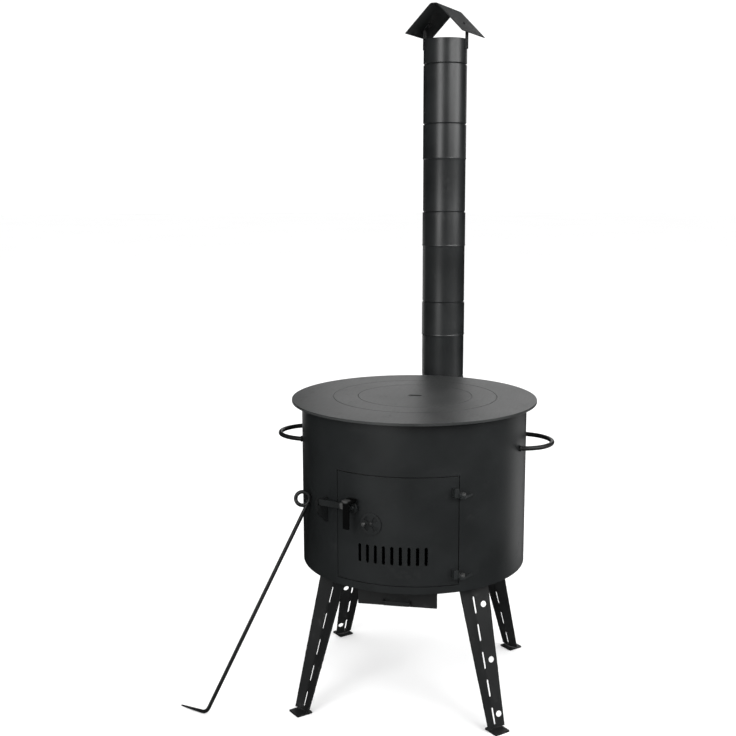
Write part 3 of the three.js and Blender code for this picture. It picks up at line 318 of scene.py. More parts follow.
def carried(
    path: Array, section: Array, normal: Array, closed: bool = False, sizes: Array | None = None
) -> Skin:
    """A section carried along a flat path.

    Args:
        path: points of shape (n, 3) in one plane.
        section: (side, rise) pairs.
        normal: the plane's normal. A rise runs along it, and a side across it and the path.
        closed: whether the path's end meets its start.
        sizes: factors of shape (n, 2) for the side and the rise at each point of the path.

    Returns:
        The skin of path + side * (direction x normal) + rise * normal, with a cap at each open end.
    """
    normal = normal / np.linalg.norm(normal)
    if closed:
        along = np.roll(path, -1, axis=0) - np.roll(path, 1, axis=0)
    else:
        along = np.gradient(path, axis=0)
    along /= np.linalg.norm(along, axis=1, keepdims=True)
    across = np.cross(along, normal)
    sized = section[None] * (np.ones((len(path), 2)) if sizes is None else sizes)[:, None]
    points = path[:, None] + sized[:, :, :1] * across[:, None] + sized[:, :, 1:] * normal
    skin = grid_skin(points, closed, True)
    if not closed:
        count = len(section)
        ring = np.arange(count)[None]
        skin.faces += [ring[:, ::-1], ring + (len(path) - 1) * count]
    return skin.outward()


def softened(corners: list[Array], reach: float, count: int = 9) -> Array:
    """A path through corners, each rounded by a curve (1-t)^2 A + 2t(1-t) C + t^2 B about its corner C.

    Args:
        corners: the path's ends, and its corners between them.
        reach: how far A and B lie from the corner.
        count: the points on each curve.

    Returns:
        The path's points.
    """
    share = np.linspace(0, 1, count)[:, None]
    parts = [corners[0][None]]
    for before, corner, after in zip(corners, corners[1:], corners[2:]):
        start = corner + reach * (before - corner) / np.linalg.norm(before - corner)
        end = corner + reach * (after - corner) / np.linalg.norm(after - corner)
        parts.append((1 - share) ** 2 * start + 2 * share * (1 - share) * corner + share**2 * end)
    return np.vstack([*parts, corners[-1][None]])


def plate(
    loops: list[Array], pitch: tuple[float, float], place: Place, wall: float, rolled: bool = False
) -> Skin:
    """A sheet cut to an outline with holes, and bent to shape.

    The flat pattern is filled with a grid of points and joined by triangles. A triangle stays if its
    middle is in the outline and in no hole. The front is place(across, along, 0), the back is
    place(across, along, wall), and walls join them along every edge that one triangle alone has.

    Args:
        loops: the outline, then its holes.
        pitch: the grid's pitch across and along.
        place: the bend.
        wall: the sheet's thickness.
        rolled: whether the outline's two sides meet, and so get no wall.

    Returns:
        The closed skin.
    """
    flat = np.vstack([*loops, filling(loops, np.array(pitch))])
    starts = np.cumsum([0] + [len(loop) for loop in loops])
    edges = []
    for start, end in zip(starts, starts[1:]):
        ring = np.arange(start, end)
        edges += np.stack([ring, np.roll(ring, -1)], axis=1).tolist()
    made = delaunay_2d_cdt([Vector(point) for point in flat.tolist()], edges, [], 0, SAME_POINT)
    flat = np.array([tuple(point) for point in made[0]])
    faces = np.array(made[2])
    middle = flat[faces].mean(axis=1)
    keep = inside(middle, loops[0])
    for hole in loops[1:]:
        keep &= ~inside(middle, hole)
    faces = faces[keep]
    borders = np.vstack([faces[:, [0, 1]], faces[:, [1, 2]], faces[:, [2, 0]]])
    _, first, count = np.unique(np.sort(borders, axis=1), axis=0, return_index=True, return_counts=True)
    borders = borders[first[count == 1]]
    if rolled:
        side = np.isclose(flat[:, 0], flat[:, 0].min()) | np.isclose(flat[:, 0], flat[:, 0].max())
        borders = borders[~(side[borders].all(axis=1))]
    across, along, shift = flat[:, 0], flat[:, 1], len(flat)
    points = np.vstack([place(across, along, np.zeros(shift)), place(across, along, np.full(shift, wall))])
    walls = np.stack([borders[:, 1], borders[:, 0], borders[:, 0] + shift, borders[:, 1] + shift], axis=1)
    return Skin(points, [faces, faces[:, ::-1] + shift, walls]).outward()


def rolled_to(radius: float) -> Place:
    """The bend of the drum's wall: angle = across / radius, at radius - depth from the axis.

    Args:
        radius: how far the sheet's face lies from the axis.

    Returns:
        The bend, which gives the place of a point of the flat pattern.
    """

    def place(across: Array, along: Array, depth: Array) -> Array:
        """The place of a point of the pattern."""
        angle, reach = across / radius, radius - depth
        return np.stack([reach * np.sin(angle), -reach * np.cos(angle), along], axis=-1)

    return place


def facing(front: float) -> Place:
    """A flat sheet that faces the front, its face at a distance from the axis."""
    return lambda across, along, depth: np.stack([across, depth - front, along], axis=-1)


def lying(top: float) -> Place:
    """A flat sheet that lies with its face at a height."""
    return lambda across, along, depth: np.stack([across, along, top - depth], axis=-1)


def edgewise(width: float) -> Place:
    """A fin that points to the front: across is its distance from the axis."""
    return lambda across, along, depth: np.stack([depth - width / 2, -across, along], axis=-1)


def fin(profile: list[tuple[float, float]], width: float) -> Skin:
    """A fin of an outline in (distance from the axis, height) pairs."""
    return plate([run(profile, MEDIUM)], (MEDIUM, MEDIUM), edgewise(width), width)


def strip(path: Array, wall: float, width: float, normal: Array) -> Skin:
    """A folded strip of sheet: a flat section carried along the fold's line.

    Args:
        path: the line that the sheet's middle follows.
        wall: the sheet's thickness.
        width: the strip's width.
        normal: the direction of that width.

    Returns:
        The strip's skin.
    """
    half = np.array([wall / 2, width / 2])
    section = np.array([(-1, -1), (1, -1), (1, 1), (-1, 1)]) * half
    return carried(path, section, normal)


def dome(radius: float, base: float, rise: float, count: int = 7) -> list[tuple[float, float]]:
    """A domed head's line up to its top: (radius cos t, base + rise sin t), t up to a right angle."""
    turn = np.linspace(0, math.pi / 2, count)[:-1]
    return [(radius * math.cos(t), base + rise * math.sin(t)) for t in turn]


def bead(centre: Array, direction: Array, radius: float, size: float) -> Skin:
    """A weld's bead: a small ring round a rod, carried about its direction.

    Args:
        centre: the ring's middle.
        direction: the rod's direction.
        radius: the rod's radius, which is the ring's.
        size: the bead's own radius.

    Returns:
        The bead's skin.
    """
    direction = direction / np.linalg.norm(direction)
    first = np.cross(direction, UP)
    first /= np.linalg.norm(first)
    turn = np.arange(ROUND)[:, None] * TURN / ROUND
    path = centre + radius * (np.cos(turn) * first + np.sin(turn) * np.cross(direction, first))
    return carried(path, circle(size, BEAD), direction, closed=True)


# Shaders


class Wire:
    """A number that a shader works out: a socket that takes Python's operators."""

    def __init__(self, look: "Look", socket: bpy.types.NodeSocket) -> None:
        """Wraps a socket of a look's tree."""
        self.look, self.socket = look, socket

    def _maths(self, operation: str, first: object, second: object) -> "Wire":
        """A Math node's result."""
        made = self.look.node("ShaderNodeMath", {"operation": operation}, {0: first, 1: second})
        return Wire(self.look, made.outputs[0])

    def __add__(self, other: object) -> "Wire":
        """self + other."""
        return self._maths("ADD", self, other)

    def __sub__(self, other: object) -> "Wire":
        """self - other."""
        return self._maths("SUBTRACT", self, other)

    def __rsub__(self, other: object) -> "Wire":
        """other - self."""
        return self._maths("SUBTRACT", other, self)

    def __mul__(self, other: object) -> "Wire":
        """self * other."""
        return self._maths("MULTIPLY", self, other)

    __radd__ = __add__

    def step(self, low: float, high: float) -> "Wire":
        """0 under low and 1 over high, with a smooth rise between them."""
        made = self.look.node(
            "ShaderNodeMapRange", {"interpolation_type": "SMOOTHSTEP"},
            {"Value": self, "From Min": low, "From Max": high},
        )
        return Wire(self.look, made.outputs[0])


class Look:
    """A material under construction: its node tree and its shader."""

    def __init__(self, name: str) -> None:
        """Starts a material with one Principled shader."""
        self.material = bpy.data.materials.new(name)
        self.material.use_nodes = True
        self.tree = self.material.node_tree
        self.shader = self.tree.nodes["Principled BSDF"]
        self.object_place = self.node("ShaderNodeTexCoord", {}, {}).outputs["Object"]

    def node(self, kind: str, settings: dict, values: dict) -> bpy.types.Node:
        """Adds a node.

        Args:
            kind: the node's type.
            settings: its properties, which are set first.
            values: a number, a colour, a Wire or a socket for each input, by name or place.

        Returns:
            The node.
        """
        made = self.tree.nodes.new(kind)
        for name, value in settings.items():
            setattr(made, name, value)
        for key, value in values.items():
            self.feed(made.inputs[key], value)
        return made

    def feed(self, socket: bpy.types.NodeSocket, value: object) -> None:
        """Links a Wire or a socket to an input, or sets the input's own value.

        Args:
            socket: the input.
            value: a number, a colour, a Wire or a socket.
        """
        if isinstance(value, Wire):
            value = value.socket
        if isinstance(value, bpy.types.NodeSocket):
            self.tree.links.new(value, socket)
        else:
            socket.default_value = value

    def noise(self, size: float, detail: float = 3, stretch: tuple = (1, 1, 1), shift: float = 0) -> Wire:
        """A noise, whose features are longer along an axis with a small stretch.

        Args:
            size: the features' size.
            detail: how many finer noises lie over it.
            stretch: a factor along each axis.
            shift: how far it is moved, so that two noises differ.

        Returns:
            The noise, from 0 to 1.
        """
        values = {"Vector": self.object_place, "Scale": stretch, "Location": (shift,) * 3}
        place = self.node("ShaderNodeMapping", {}, values)
        values = {"Vector": place.outputs[0], "Scale": 1 / size, "Detail": detail}
        return Wire(self, self.node("ShaderNodeTexNoise", {}, values).outputs["Fac"])

    def cells(self, size: float) -> Wire:
        """A value that is even inside each cell, as on plated steel.

        Args:
            size: the cells' size.

        Returns:
            The value, from 0 to 1.
        """
        values = {"Vector": self.object_place, "Scale": 1 / size}
        made = self.node("ShaderNodeTexVoronoi", {}, values)
        parts = self.node("ShaderNodeSeparateColor", {}, {"Color": made.outputs["Color"]})
        return Wire(self, parts.outputs[0])

    def ball(self, centre: tuple[float, float, float], radius: float) -> Wire:
        """1 near a place, falling from half a radius on to 0 at a radius from it."""
        made = self.node(
            "ShaderNodeVectorMath", {"operation": "DISTANCE"}, {0: self.object_place, 1: centre},
        )
        return 1 - Wire(self, made.outputs["Value"]).step(radius / 2, radius)

    def mixed(self, mask: Wire, first: object, second: object) -> bpy.types.NodeSocket:
        """A colour between two, the second where the mask is 1."""
        values = {0: mask, FIRST_COLOUR: first, SECOND_COLOUR: second}
        return self.node("ShaderNodeMix", {"data_type": "RGBA"}, values).outputs[MIXED_COLOUR]

    def relief(self, height: Wire) -> None:
        """Bumps the surface by a height in metres."""
        made = self.node("ShaderNodeBump", {}, {"Strength": 1.0, "Distance": 1.0, "Height": height})
        self.feed(self.shader.inputs["Normal"], made.outputs[0])


# What every finish has: the sizes of its noises, where they set in, and how much each of them counts
MIDDLE = 0.5
PATCH, SPECK, SCUFF, WAVE = 90 * MM, 7 * MM, 38 * MM, 160 * MM
PATCH_EDGES, SPECK_EDGES, SCUFF_EDGES = (0.3, 0.7), (0.42, 0.66), (0.56, 0.72)
SCUFF_ROUGH = 0.08
CELL, CELL_ROUGH = 2.5 * MM, 0.16

# What a painted highlight, made as a rubbed spot of bare steel, shows, how much of it is even, how much
# follows the specks, and how metallic it is
HIGHLIGHT_RUB_STEEL = (0.095, 0.095, 0.094, 1.0)
HIGHLIGHT_RUB_EVEN, HIGHLIGHT_RUB_SPECKED, HIGHLIGHT_RUB_METALLIC = 0.5, 0.9, 0.6


@dataclass(frozen=True)
class Marks:
    """Long marks over a finish: their size, stretch and shift, and what they add to it."""

    size: float
    stretch: tuple[float, float, float]
    shift: float
    rough: float
    depth: float


MARKS = {
    Pattern.ROLLED: Marks(3 * MM, (1, 0.04, 1), 9.4, 0.05, 0.004 * MM),
    Pattern.DRAWN: Marks(1.2 * MM, (1, 1, 0.05), 4.4, 0.14, 0.02 * MM),
}


@dataclass(frozen=True)
class HighlightRub:
    """A painted highlight, made as a rubbed spot of bare steel: a ball at a place made at the front and
    turned round the drum's axis.
    """

    degrees: float
    side: float
    reach: float
    height: float
    radius: float

    def centre(self) -> tuple[float, float, float]:
        """Finds the ball's place: (side, -reach) turned by the angle, at its height.

        Returns:
            The ball's centre in the frame.
        """
        turn = math.radians(self.degrees)
        x = self.side * math.cos(turn) + self.reach * math.sin(turn)
        y = self.side * math.sin(turn) - self.reach * math.cos(turn)
        return tuple((AXIS + (x, y, self.height)).tolist())


@dataclass(frozen=True)
class Finish:
    """How a surface is finished.

    Colours are linear. Sizes and depths are metres, and spreads are how far a value runs to each side.
    """

    name: str
    colour: tuple[float, float, float]
    second: tuple[float, float, float]
    worn: tuple[float, float, float]
    roughness: float
    spread: float
    metallic: float = 0.0
    specular: float = 0.5
    grain: float = 1.6 * MM
    grain_depth: float = 0.02 * MM
    wave_depth: float = 0.25 * MM
    wear: float = 0.3
    pattern: Pattern = Pattern.SPRAYED
    highlight_rubs: tuple[HighlightRub, ...] = ()

    def material(self) -> bpy.types.Material:
        """Makes the finish: patches, specks, fine grain, scuffs, painted highlights made as rubbed spots of
        bare steel, and a slow wave.

        Returns:
            The finish as a material.
        """
        look = Look(self.name)
        patch = look.noise(PATCH, detail=4)
        speck = look.noise(SPECK, detail=5, shift=3.1)
        grain = look.noise(self.grain, detail=2, shift=7.7)
        wave = look.noise(WAVE, detail=1, shift=5.2)
        scuff = look.noise(SCUFF, detail=8, shift=1.3).step(*SCUFF_EDGES) * speck.step(*SPECK_EDGES)
        mottled = look.mixed(patch.step(*PATCH_EDGES), (*self.colour, 1.0), (*self.second, 1.0))
        colour = look.mixed(scuff * self.wear, mottled, (*self.worn, 1.0))
        rough = self.roughness + (patch - MIDDLE) * (2 * self.spread)
        rough = rough + (speck - MIDDLE) * self.spread + scuff * SCUFF_ROUGH
        height = grain * self.grain_depth + wave * self.wave_depth
        metallic = self.metallic
        # Painted highlights: bare-steel colour and some metal put in balls where light catches the piece
        if self.highlight_rubs:
            balls = [look.ball(highlight_rub.centre(), highlight_rub.radius) for highlight_rub in self.highlight_rubs]
            highlight_rubbed = sum(balls[1:], balls[0]) * (HIGHLIGHT_RUB_EVEN + speck * HIGHLIGHT_RUB_SPECKED)
            colour = look.mixed(highlight_rubbed, colour, HIGHLIGHT_RUB_STEEL)
            metallic = highlight_rubbed * HIGHLIGHT_RUB_METALLIC
        if self.pattern in MARKS:
            marks = MARKS[self.pattern]
            lines = look.noise(marks.size, stretch=marks.stretch, shift=marks.shift)
            rough = rough + (lines - MIDDLE) * marks.rough
            height = height + lines * marks.depth
        elif self.pattern is Pattern.PLATED:
            rough = rough + (look.cells(CELL) - MIDDLE) * CELL_ROUGH
        look.relief(height)
        for name, value in {
            "Base Color": colour, "Roughness": rough, "Metallic": metallic,
            "Specular IOR Level": self.specular,
        }.items():
            look.feed(look.shader.inputs[name], value)
        return look.material


BODY_PAINT = Finish(
    "body_black_paint", (0.0075, 0.0087, 0.009), (0.0102, 0.0117, 0.0121), (0.026, 0.027, 0.027),
    0.44, 0.04, specular=0.4, wave_depth=0.3 * MM, wear=0.12,
)
HOB_STEEL = Finish(
    "hob_dark_steel", (0.026, 0.0278, 0.0278), (0.04, 0.042, 0.0415), (0.07, 0.07, 0.067),
    0.41, 0.06, metallic=0.25, specular=0.5, grain=1.2 * MM, grain_depth=0.012 * MM,
    wave_depth=0.3 * MM, wear=0.35, pattern=Pattern.ROLLED,
)
FLUE_PAINT = Finish(
    "flue_dark_paint", (0.0085, 0.0097, 0.0101), (0.0125, 0.0141, 0.0145), (0.04, 0.041, 0.041),
    0.37, 0.04, specular=0.72, grain=1.3 * MM, grain_depth=0.012 * MM, wave_depth=0.2 * MM, wear=0.15,
)
CAP_PAINT = Finish(
    "cap_dark_paint", (0.0095, 0.0105, 0.0108), (0.02, 0.0215, 0.0218), (0.09, 0.09, 0.088),
    0.5, 0.16, specular=0.22, grain=1.3 * MM, grain_depth=0.02 * MM, wear=0.6,
)
LEG_PAINT = Finish(
    "leg_black_paint", (0.0085, 0.0091, 0.0093), (0.0115, 0.0122, 0.0124), (0.045, 0.045, 0.044),
    0.46, 0.06, specular=0.36, wear=0.35,
)
# Its rubs are painted highlights on the hinges' upper faces round the pin, made as rubbed bare steel
HINGE_PAINT = Finish(
    "hinge_black_paint", (0.0095, 0.011, 0.0113), (0.0125, 0.0143, 0.0147), (0.05, 0.05, 0.049),
    0.42, 0.04, specular=0.4, wear=0.4,
    highlight_rubs=tuple(
        HighlightRub(HINGE_TURN, 1 * MM, HINGE_REACH + 1 * MM, low + 11 * MM, 8.5 * MM) for low in HINGE_LOWS.values()
    ),
)
# Black paint darker and duller than the body's: painted shade on the keeper fin
KEEPER_SHADE_PAINT = Finish(
    "keeper_painted_shade_black", (0.005, 0.0056, 0.0057), (0.007, 0.0078, 0.008), (0.03, 0.03, 0.029),
    0.5, 0.05, specular=0.3, wear=0.2,
)
# Its rub is a painted highlight on the bar's face beside the pivot, made as rubbed bare steel
BAR_PAINT = Finish(
    "latch_bar_paint", (0.007, 0.008, 0.0082), (0.0095, 0.0108, 0.011), (0.03, 0.03, 0.029),
    0.46, 0.05, specular=0.38, wear=0.2,
    highlight_rubs=(HighlightRub(LATCH_TURN, -17 * MM, BAR_FRONT, LATCH_HEIGHT + 1 * MM, 12 * MM),),
)
# Near-black, low-gloss paint is painted shade on the grip's hanging strip; its rub is a painted highlight on
# the shelf's top face
GRIP_SHADE_AND_HIGHLIGHT_PAINT = Finish(
    "latch_grip_painted_shade_and_highlight", (0.0012, 0.0013, 0.0013), (0.002, 0.0021, 0.0021), (0.01, 0.01, 0.01),
    0.5, 0.04, specular=0.08, wear=0.1,
    highlight_rubs=(HighlightRub(LATCH_TURN, -2 * MM, BAR_FRONT + 16 * MM, LATCH_HEIGHT + 23 * MM, 12 * MM),),
)
RAW_IRON = Finish(
    "sooty_iron", (0.016, 0.0155, 0.015), (0.03, 0.028, 0.026), (0.075, 0.068, 0.06),
    0.62, 0.1, metallic=0.35, grain=1.1 * MM, grain_depth=0.05 * MM, wear=0.6,
)
ROD_STEEL = Finish(
    "black_rod", (0.007, 0.0074, 0.0075), (0.011, 0.0115, 0.0115), (0.09, 0.088, 0.084),
    0.4, 0.06, metallic=0.2, wear=0.35, pattern=Pattern.DRAWN,
)
KNOB_STEEL = Finish(
    "worn_knob_steel", (0.09, 0.091, 0.092), (0.13, 0.131, 0.131), (0.2, 0.2, 0.19),
    0.4, 0.06, metallic=0.8, grain_depth=0.008 * MM, wave_depth=0.0,
)
ZINC = Finish(
    "zinc_plate", (0.42, 0.43, 0.44), (0.5, 0.51, 0.51), (0.3, 0.29, 0.27),
    0.34, 0.06, metallic=1.0, grain_depth=0.008 * MM, wave_depth=0.0, pattern=Pattern.PLATED,
)
FINISHES = (
    BODY_PAINT, HOB_STEEL, FLUE_PAINT, CAP_PAINT, LEG_PAINT, HINGE_PAINT, KEEPER_SHADE_PAINT, BAR_PAINT, GRIP_SHADE_AND_HIGHLIGHT_PAINT,
    RAW_IRON, ROD_STEEL, KNOB_STEEL, ZINC,
)


# Pieces


@dataclass
class Piece:
    """One visible piece: its skin, what it rides on, what it stands for and its finish."""

    name: str
    skin: Skin
    body: str
    finish: Finish
    nodes: tuple[str, ...]
    slot: Slot = Slot.BODY
    edge: float = 0.4 * MM

    def put(self, materials: dict[str, bpy.types.Material]) -> bpy.types.Object:
        """Makes the piece in the scene.

        Args:
            materials: each finish's material by the finish's name.

        Returns:
            The piece's object, at the origin, with its place in its mesh.
        """
        mesh = bpy.data.meshes.new(self.name)
        faces = [face for group in self.skin.faces for face in group.tolist()]
        mesh.from_pydata((self.skin.points + AXIS).tolist(), [], faces)
        work = bmesh.new()
        work.from_mesh(mesh)
        bmesh.ops.remove_doubles(work, verts=work.verts, dist=SAME_PLACE)
        work.to_mesh(mesh)
        work.free()
        mesh.shade_smooth()
        made = bpy.data.objects.new(self.name, mesh)
        bpy.context.scene.collection.objects.link(made)
        mesh.materials.append(materials[self.finish.name])
        if self.edge:
            bevel = made.modifiers.new("edge", "BEVEL")
            bevel.width, bevel.segments = self.edge, BEVEL_STEPS
            bevel.limit_method, bevel.angle_limit = "ANGLE", SHARP
            bevel.use_clamp_overlap, bevel.harden_normals = False, True
        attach(made, self.body)
        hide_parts(*self.nodes)
        LOG.info("%s: %d points, rides on %s", self.name, len(mesh.vertices), self.body)
        return made


class Assembly:
    """What every sub-assembly does: it builds its pieces and dresses them."""

    def build(self) -> list[Piece]:
        """The sub-assembly's pieces."""
        raise NotImplementedError

    def dress(self, materials: dict[str, bpy.types.Material]) -> None:
        """Puts each piece into the scene in its finish."""
        for piece in self.build():
            piece.put(materials)


@dataclass
class Drum(Assembly):
    """The rolled drum, the frame behind its door, the hinges' lugs, the latch's keeper, the handles."""

    radius: float = 225 * MM
    wall: float = 3 * MM
    low: float = 272 * MM
    high: float = 597 * MM
    seam: float = 60.0
    seam_edge: float = 0.2 * MM
    pitch: tuple[float, float] = (5.9 * MM, 11 * MM)
    door_half: float = 31.0
    door_low: float = 286 * MM
    door_high: float = 497 * MM
    outlet_height: float = 460 * MM
    outlet_radius: float = 48.2 * MM
    outlet_steps: int = 72
    stop_wall: float = 3 * MM
    stop_lap: float = 8 * MM
    stop_weld: float = 11 * MM
    stop_pitch: float = 8 * MM
    floor_top: float = 277 * MM
    hinge_turn: float = HINGE_TURN
    hinge_reach: float = HINGE_REACH
    hinge_lows: dict[str, float] = field(default_factory=lambda: dict(HINGE_LOWS))
    eye: float = 6 * MM
    lug_wall: float = 5 * MM
    lug_length: float = 27.2 * MM
    lug_degrees: tuple[float, float] = (90, 332)
    lug_points: tuple[int, int] = (24, 8)
    pin: float = 2.5 * MM
    pin_end: float = 2 * MM
    pin_steps: int = 24
    keeper_turn: float = -38.0
    keeper_height: float = LATCH_HEIGHT
    keeper_wall: float = 4 * MM
    keeper_reach: float = 27 * MM
    keeper_base: float = 6 * MM
    keeper_notch: tuple[float, float] = (14.5 * MM, 23.5 * MM)
    keeper_foot: float = -41.3 * MM
    keeper_flare: float = -18.3 * MM
    keeper_bed: float = -6.3 * MM
    keeper_hook: float = 0.7 * MM
    keeper_root: float = 5.7 * MM
    keeper_tip: float = 10.7 * MM
    handle_height: float = 520.6 * MM
    handle_half: float = 62 * MM
    handle_reach: float = 276.5 * MM
    handle_rod: float = 4.5 * MM
    handle_samples: int = 721
    handle_rings: int = 65
    weld: float = 1.7 * MM
    weld_reach: float = 3.2 * MM
    weld_aim: int = 3

    def shell(self) -> Skin:
        """The wall as a flat pattern, across = radius * angle, with the doorway and the outlet's hole.

        Returns:
            The rolled wall. The outlet's hole is a circle seen from behind, so across is
            radius * asin(x / radius).
        """
        start = self.radius * math.radians(self.seam)
        end = start + self.radius * TURN
        outline = run([(start, self.low), (end, self.low), (end, self.high), (start, self.high)], COARSE)
        half = self.radius * math.radians(self.door_half)
        left, right = self.radius * TURN - half, self.radius * TURN + half
        doorway = run(
            [(left, self.door_low), (right, self.door_low), (right, self.door_high), (left, self.door_high)],
            COARSE,
        )
        outlet = circle(self.outlet_radius, self.outlet_steps, (0.0, self.outlet_height))
        outlet[:, 0] = self.radius * (np.arcsin(outlet[:, 0] / self.radius) + math.pi)
        place = rolled_to(self.radius)
        return plate([outline, doorway, outlet], self.pitch, place, self.wall, rolled=True)

    def stop_frame(self) -> Skin:
        """The frame inside the doorway: a rectangle with a rectangular opening, rolled.

        Returns:
            The frame's skin, a play inside the drum's wall.
        """
        outer = self.radius - self.wall - PLAY
        half = outer * math.radians(self.door_half) + self.stop_weld
        inner = outer * math.radians(self.door_half) - self.stop_lap
        low, high = self.floor_top + PLAY, self.door_high + self.stop_weld
        outline = run([(-half, low), (half, low), (half, high), (-half, high)], COARSE)
        sill, head = self.door_low + self.stop_lap, self.door_high - self.stop_lap
        opening = run([(-inner, sill), (inner, sill), (inner, head), (-inner, head)], COARSE)
        return plate([outline, opening], (COARSE, self.stop_pitch), rolled_to(outer), self.stop_wall)

    def lug(self) -> Skin:
        """A hinge's lug: about three quarters of an eye, and a gusset back to the drum.

        Returns:
            The lug's skin at the front, its underside on height 0.
        """
        wall = self.radius + PLAY
        centre = (0.0, -self.hinge_reach)
        rim_points, drum_points = self.lug_points
        rim = arc(self.eye, *self.lug_degrees, rim_points, centre)
        far = math.degrees(math.asin(self.lug_length / wall))
        drum = arc(wall, far - 90, -90, drum_points)
        bore = circle(self.pin + PLAY, ROUND, centre)
        top = self.lug_wall
        return plate([run(np.vstack([rim, drum]).tolist(), FINE), bore], (FINE, FINE), lying(top), top)

    def hinge_pin(self) -> Skin:
        """A pin with a tapered end, on the hinge's axis.

        Returns:
            The pin's skin at the front.
        """
        top = 2 * self.lug_wall + PLAY
        low, high = -self.pin_end, top + self.pin_end
        profile = [(0, low), (self.pin, low), (self.pin, top), (self.pin / 2, high), (0, high)]
        return lathe(profile, self.pin_steps).moved((0, -self.hinge_reach, 0))

    def keeper(self) -> Skin:
        """The forked fin: a hooked outer prong, a notch for the bar and a tapered foot.

        Returns:
            The fin's skin at the front. Its places count from the drum's wall and the latch's height.
        """
        near, far = self.keeper_notch
        places = [
            (0.0, self.keeper_root), (0.0, self.keeper_foot), (self.keeper_base, self.keeper_foot),
            (self.keeper_reach, self.keeper_flare), (self.keeper_reach, self.keeper_tip),
            (far, self.keeper_hook), (far, self.keeper_bed),
            (near, self.keeper_bed), (near, self.keeper_root),
        ]
        root = self.radius + PLAY
        return fin([(root + out, self.keeper_height + rise) for out, rise in places], self.keeper_wall)

    def handle(self) -> Skin:
        """A bow of rod: (-h cos t, -root - reach sin t), with a weld at each end.

        Each weld is aimed along the rod, at a ring a few rings further on.

        Returns:
            The bow's skin at the front, cut off inside the drum's wall.
        """
        root = math.sqrt(self.radius**2 - self.handle_half**2) - self.handle_rod
        reach = self.handle_reach - root
        turn = np.linspace(0, math.pi, self.handle_samples)
        bow = np.stack([-self.handle_half * np.cos(turn), -root - reach * np.sin(turn), 0 * turn], axis=1)
        bow = bow[np.hypot(bow[:, 0], bow[:, 1]) > self.radius - self.wall / 2]
        picked = bow[np.round(np.linspace(0, len(bow) - 1, self.handle_rings)).astype(int)]
        skin = carried(picked, circle(self.handle_rod, ROUND), UP)
        for end, further in ((0, self.weld_aim), (-1, -1 - self.weld_aim)):
            outward = picked[further] - picked[end]
            weld = picked[end] + outward / np.linalg.norm(outward) * self.weld_reach
            skin = skin + bead(weld, outward, self.handle_rod, self.weld)
        return skin.moved((0, 0, self.handle_height))

    def build(self) -> list[Piece]:
        """The drum's pieces.

        Returns:
            The pieces, each at its place on the drum.
        """
        body = "stove_body"
        keeper = self.keeper().turned(self.keeper_turn)
        pieces = [
            Piece("drum_wall", self.shell(), body, BODY_PAINT, ("body_shell",), edge=self.seam_edge),
            Piece("doorway_frame", self.stop_frame(), body, RAW_IRON, ("door_stop_frame",)),
            Piece("keeper_fork", keeper, body, KEEPER_SHADE_PAINT, ("latch_keeper",)),
        ]
        for name, low in self.hinge_lows.items():
            lug, pin = (
                skin.turned(self.hinge_turn).moved((0, 0, low)) for skin in (self.lug(), self.hinge_pin())
            )
            pieces.append(Piece(f"lug_{name}", lug, body, HINGE_PAINT, (f"hinge_lug_{name}",)))
            pieces.append(Piece(f"pin_{name}", pin, body, LEG_PAINT, (f"hinge_pin_{name}",), Slot.FASTENER))
        for name, side in (("left", -1), ("right", 1)):
            bow = self.handle().turned(90 * side)
            pieces.append(Piece(f"bow_handle_{name}", bow, body, ROD_STEEL, (f"handle_{name}",), edge=0))
        return pieces


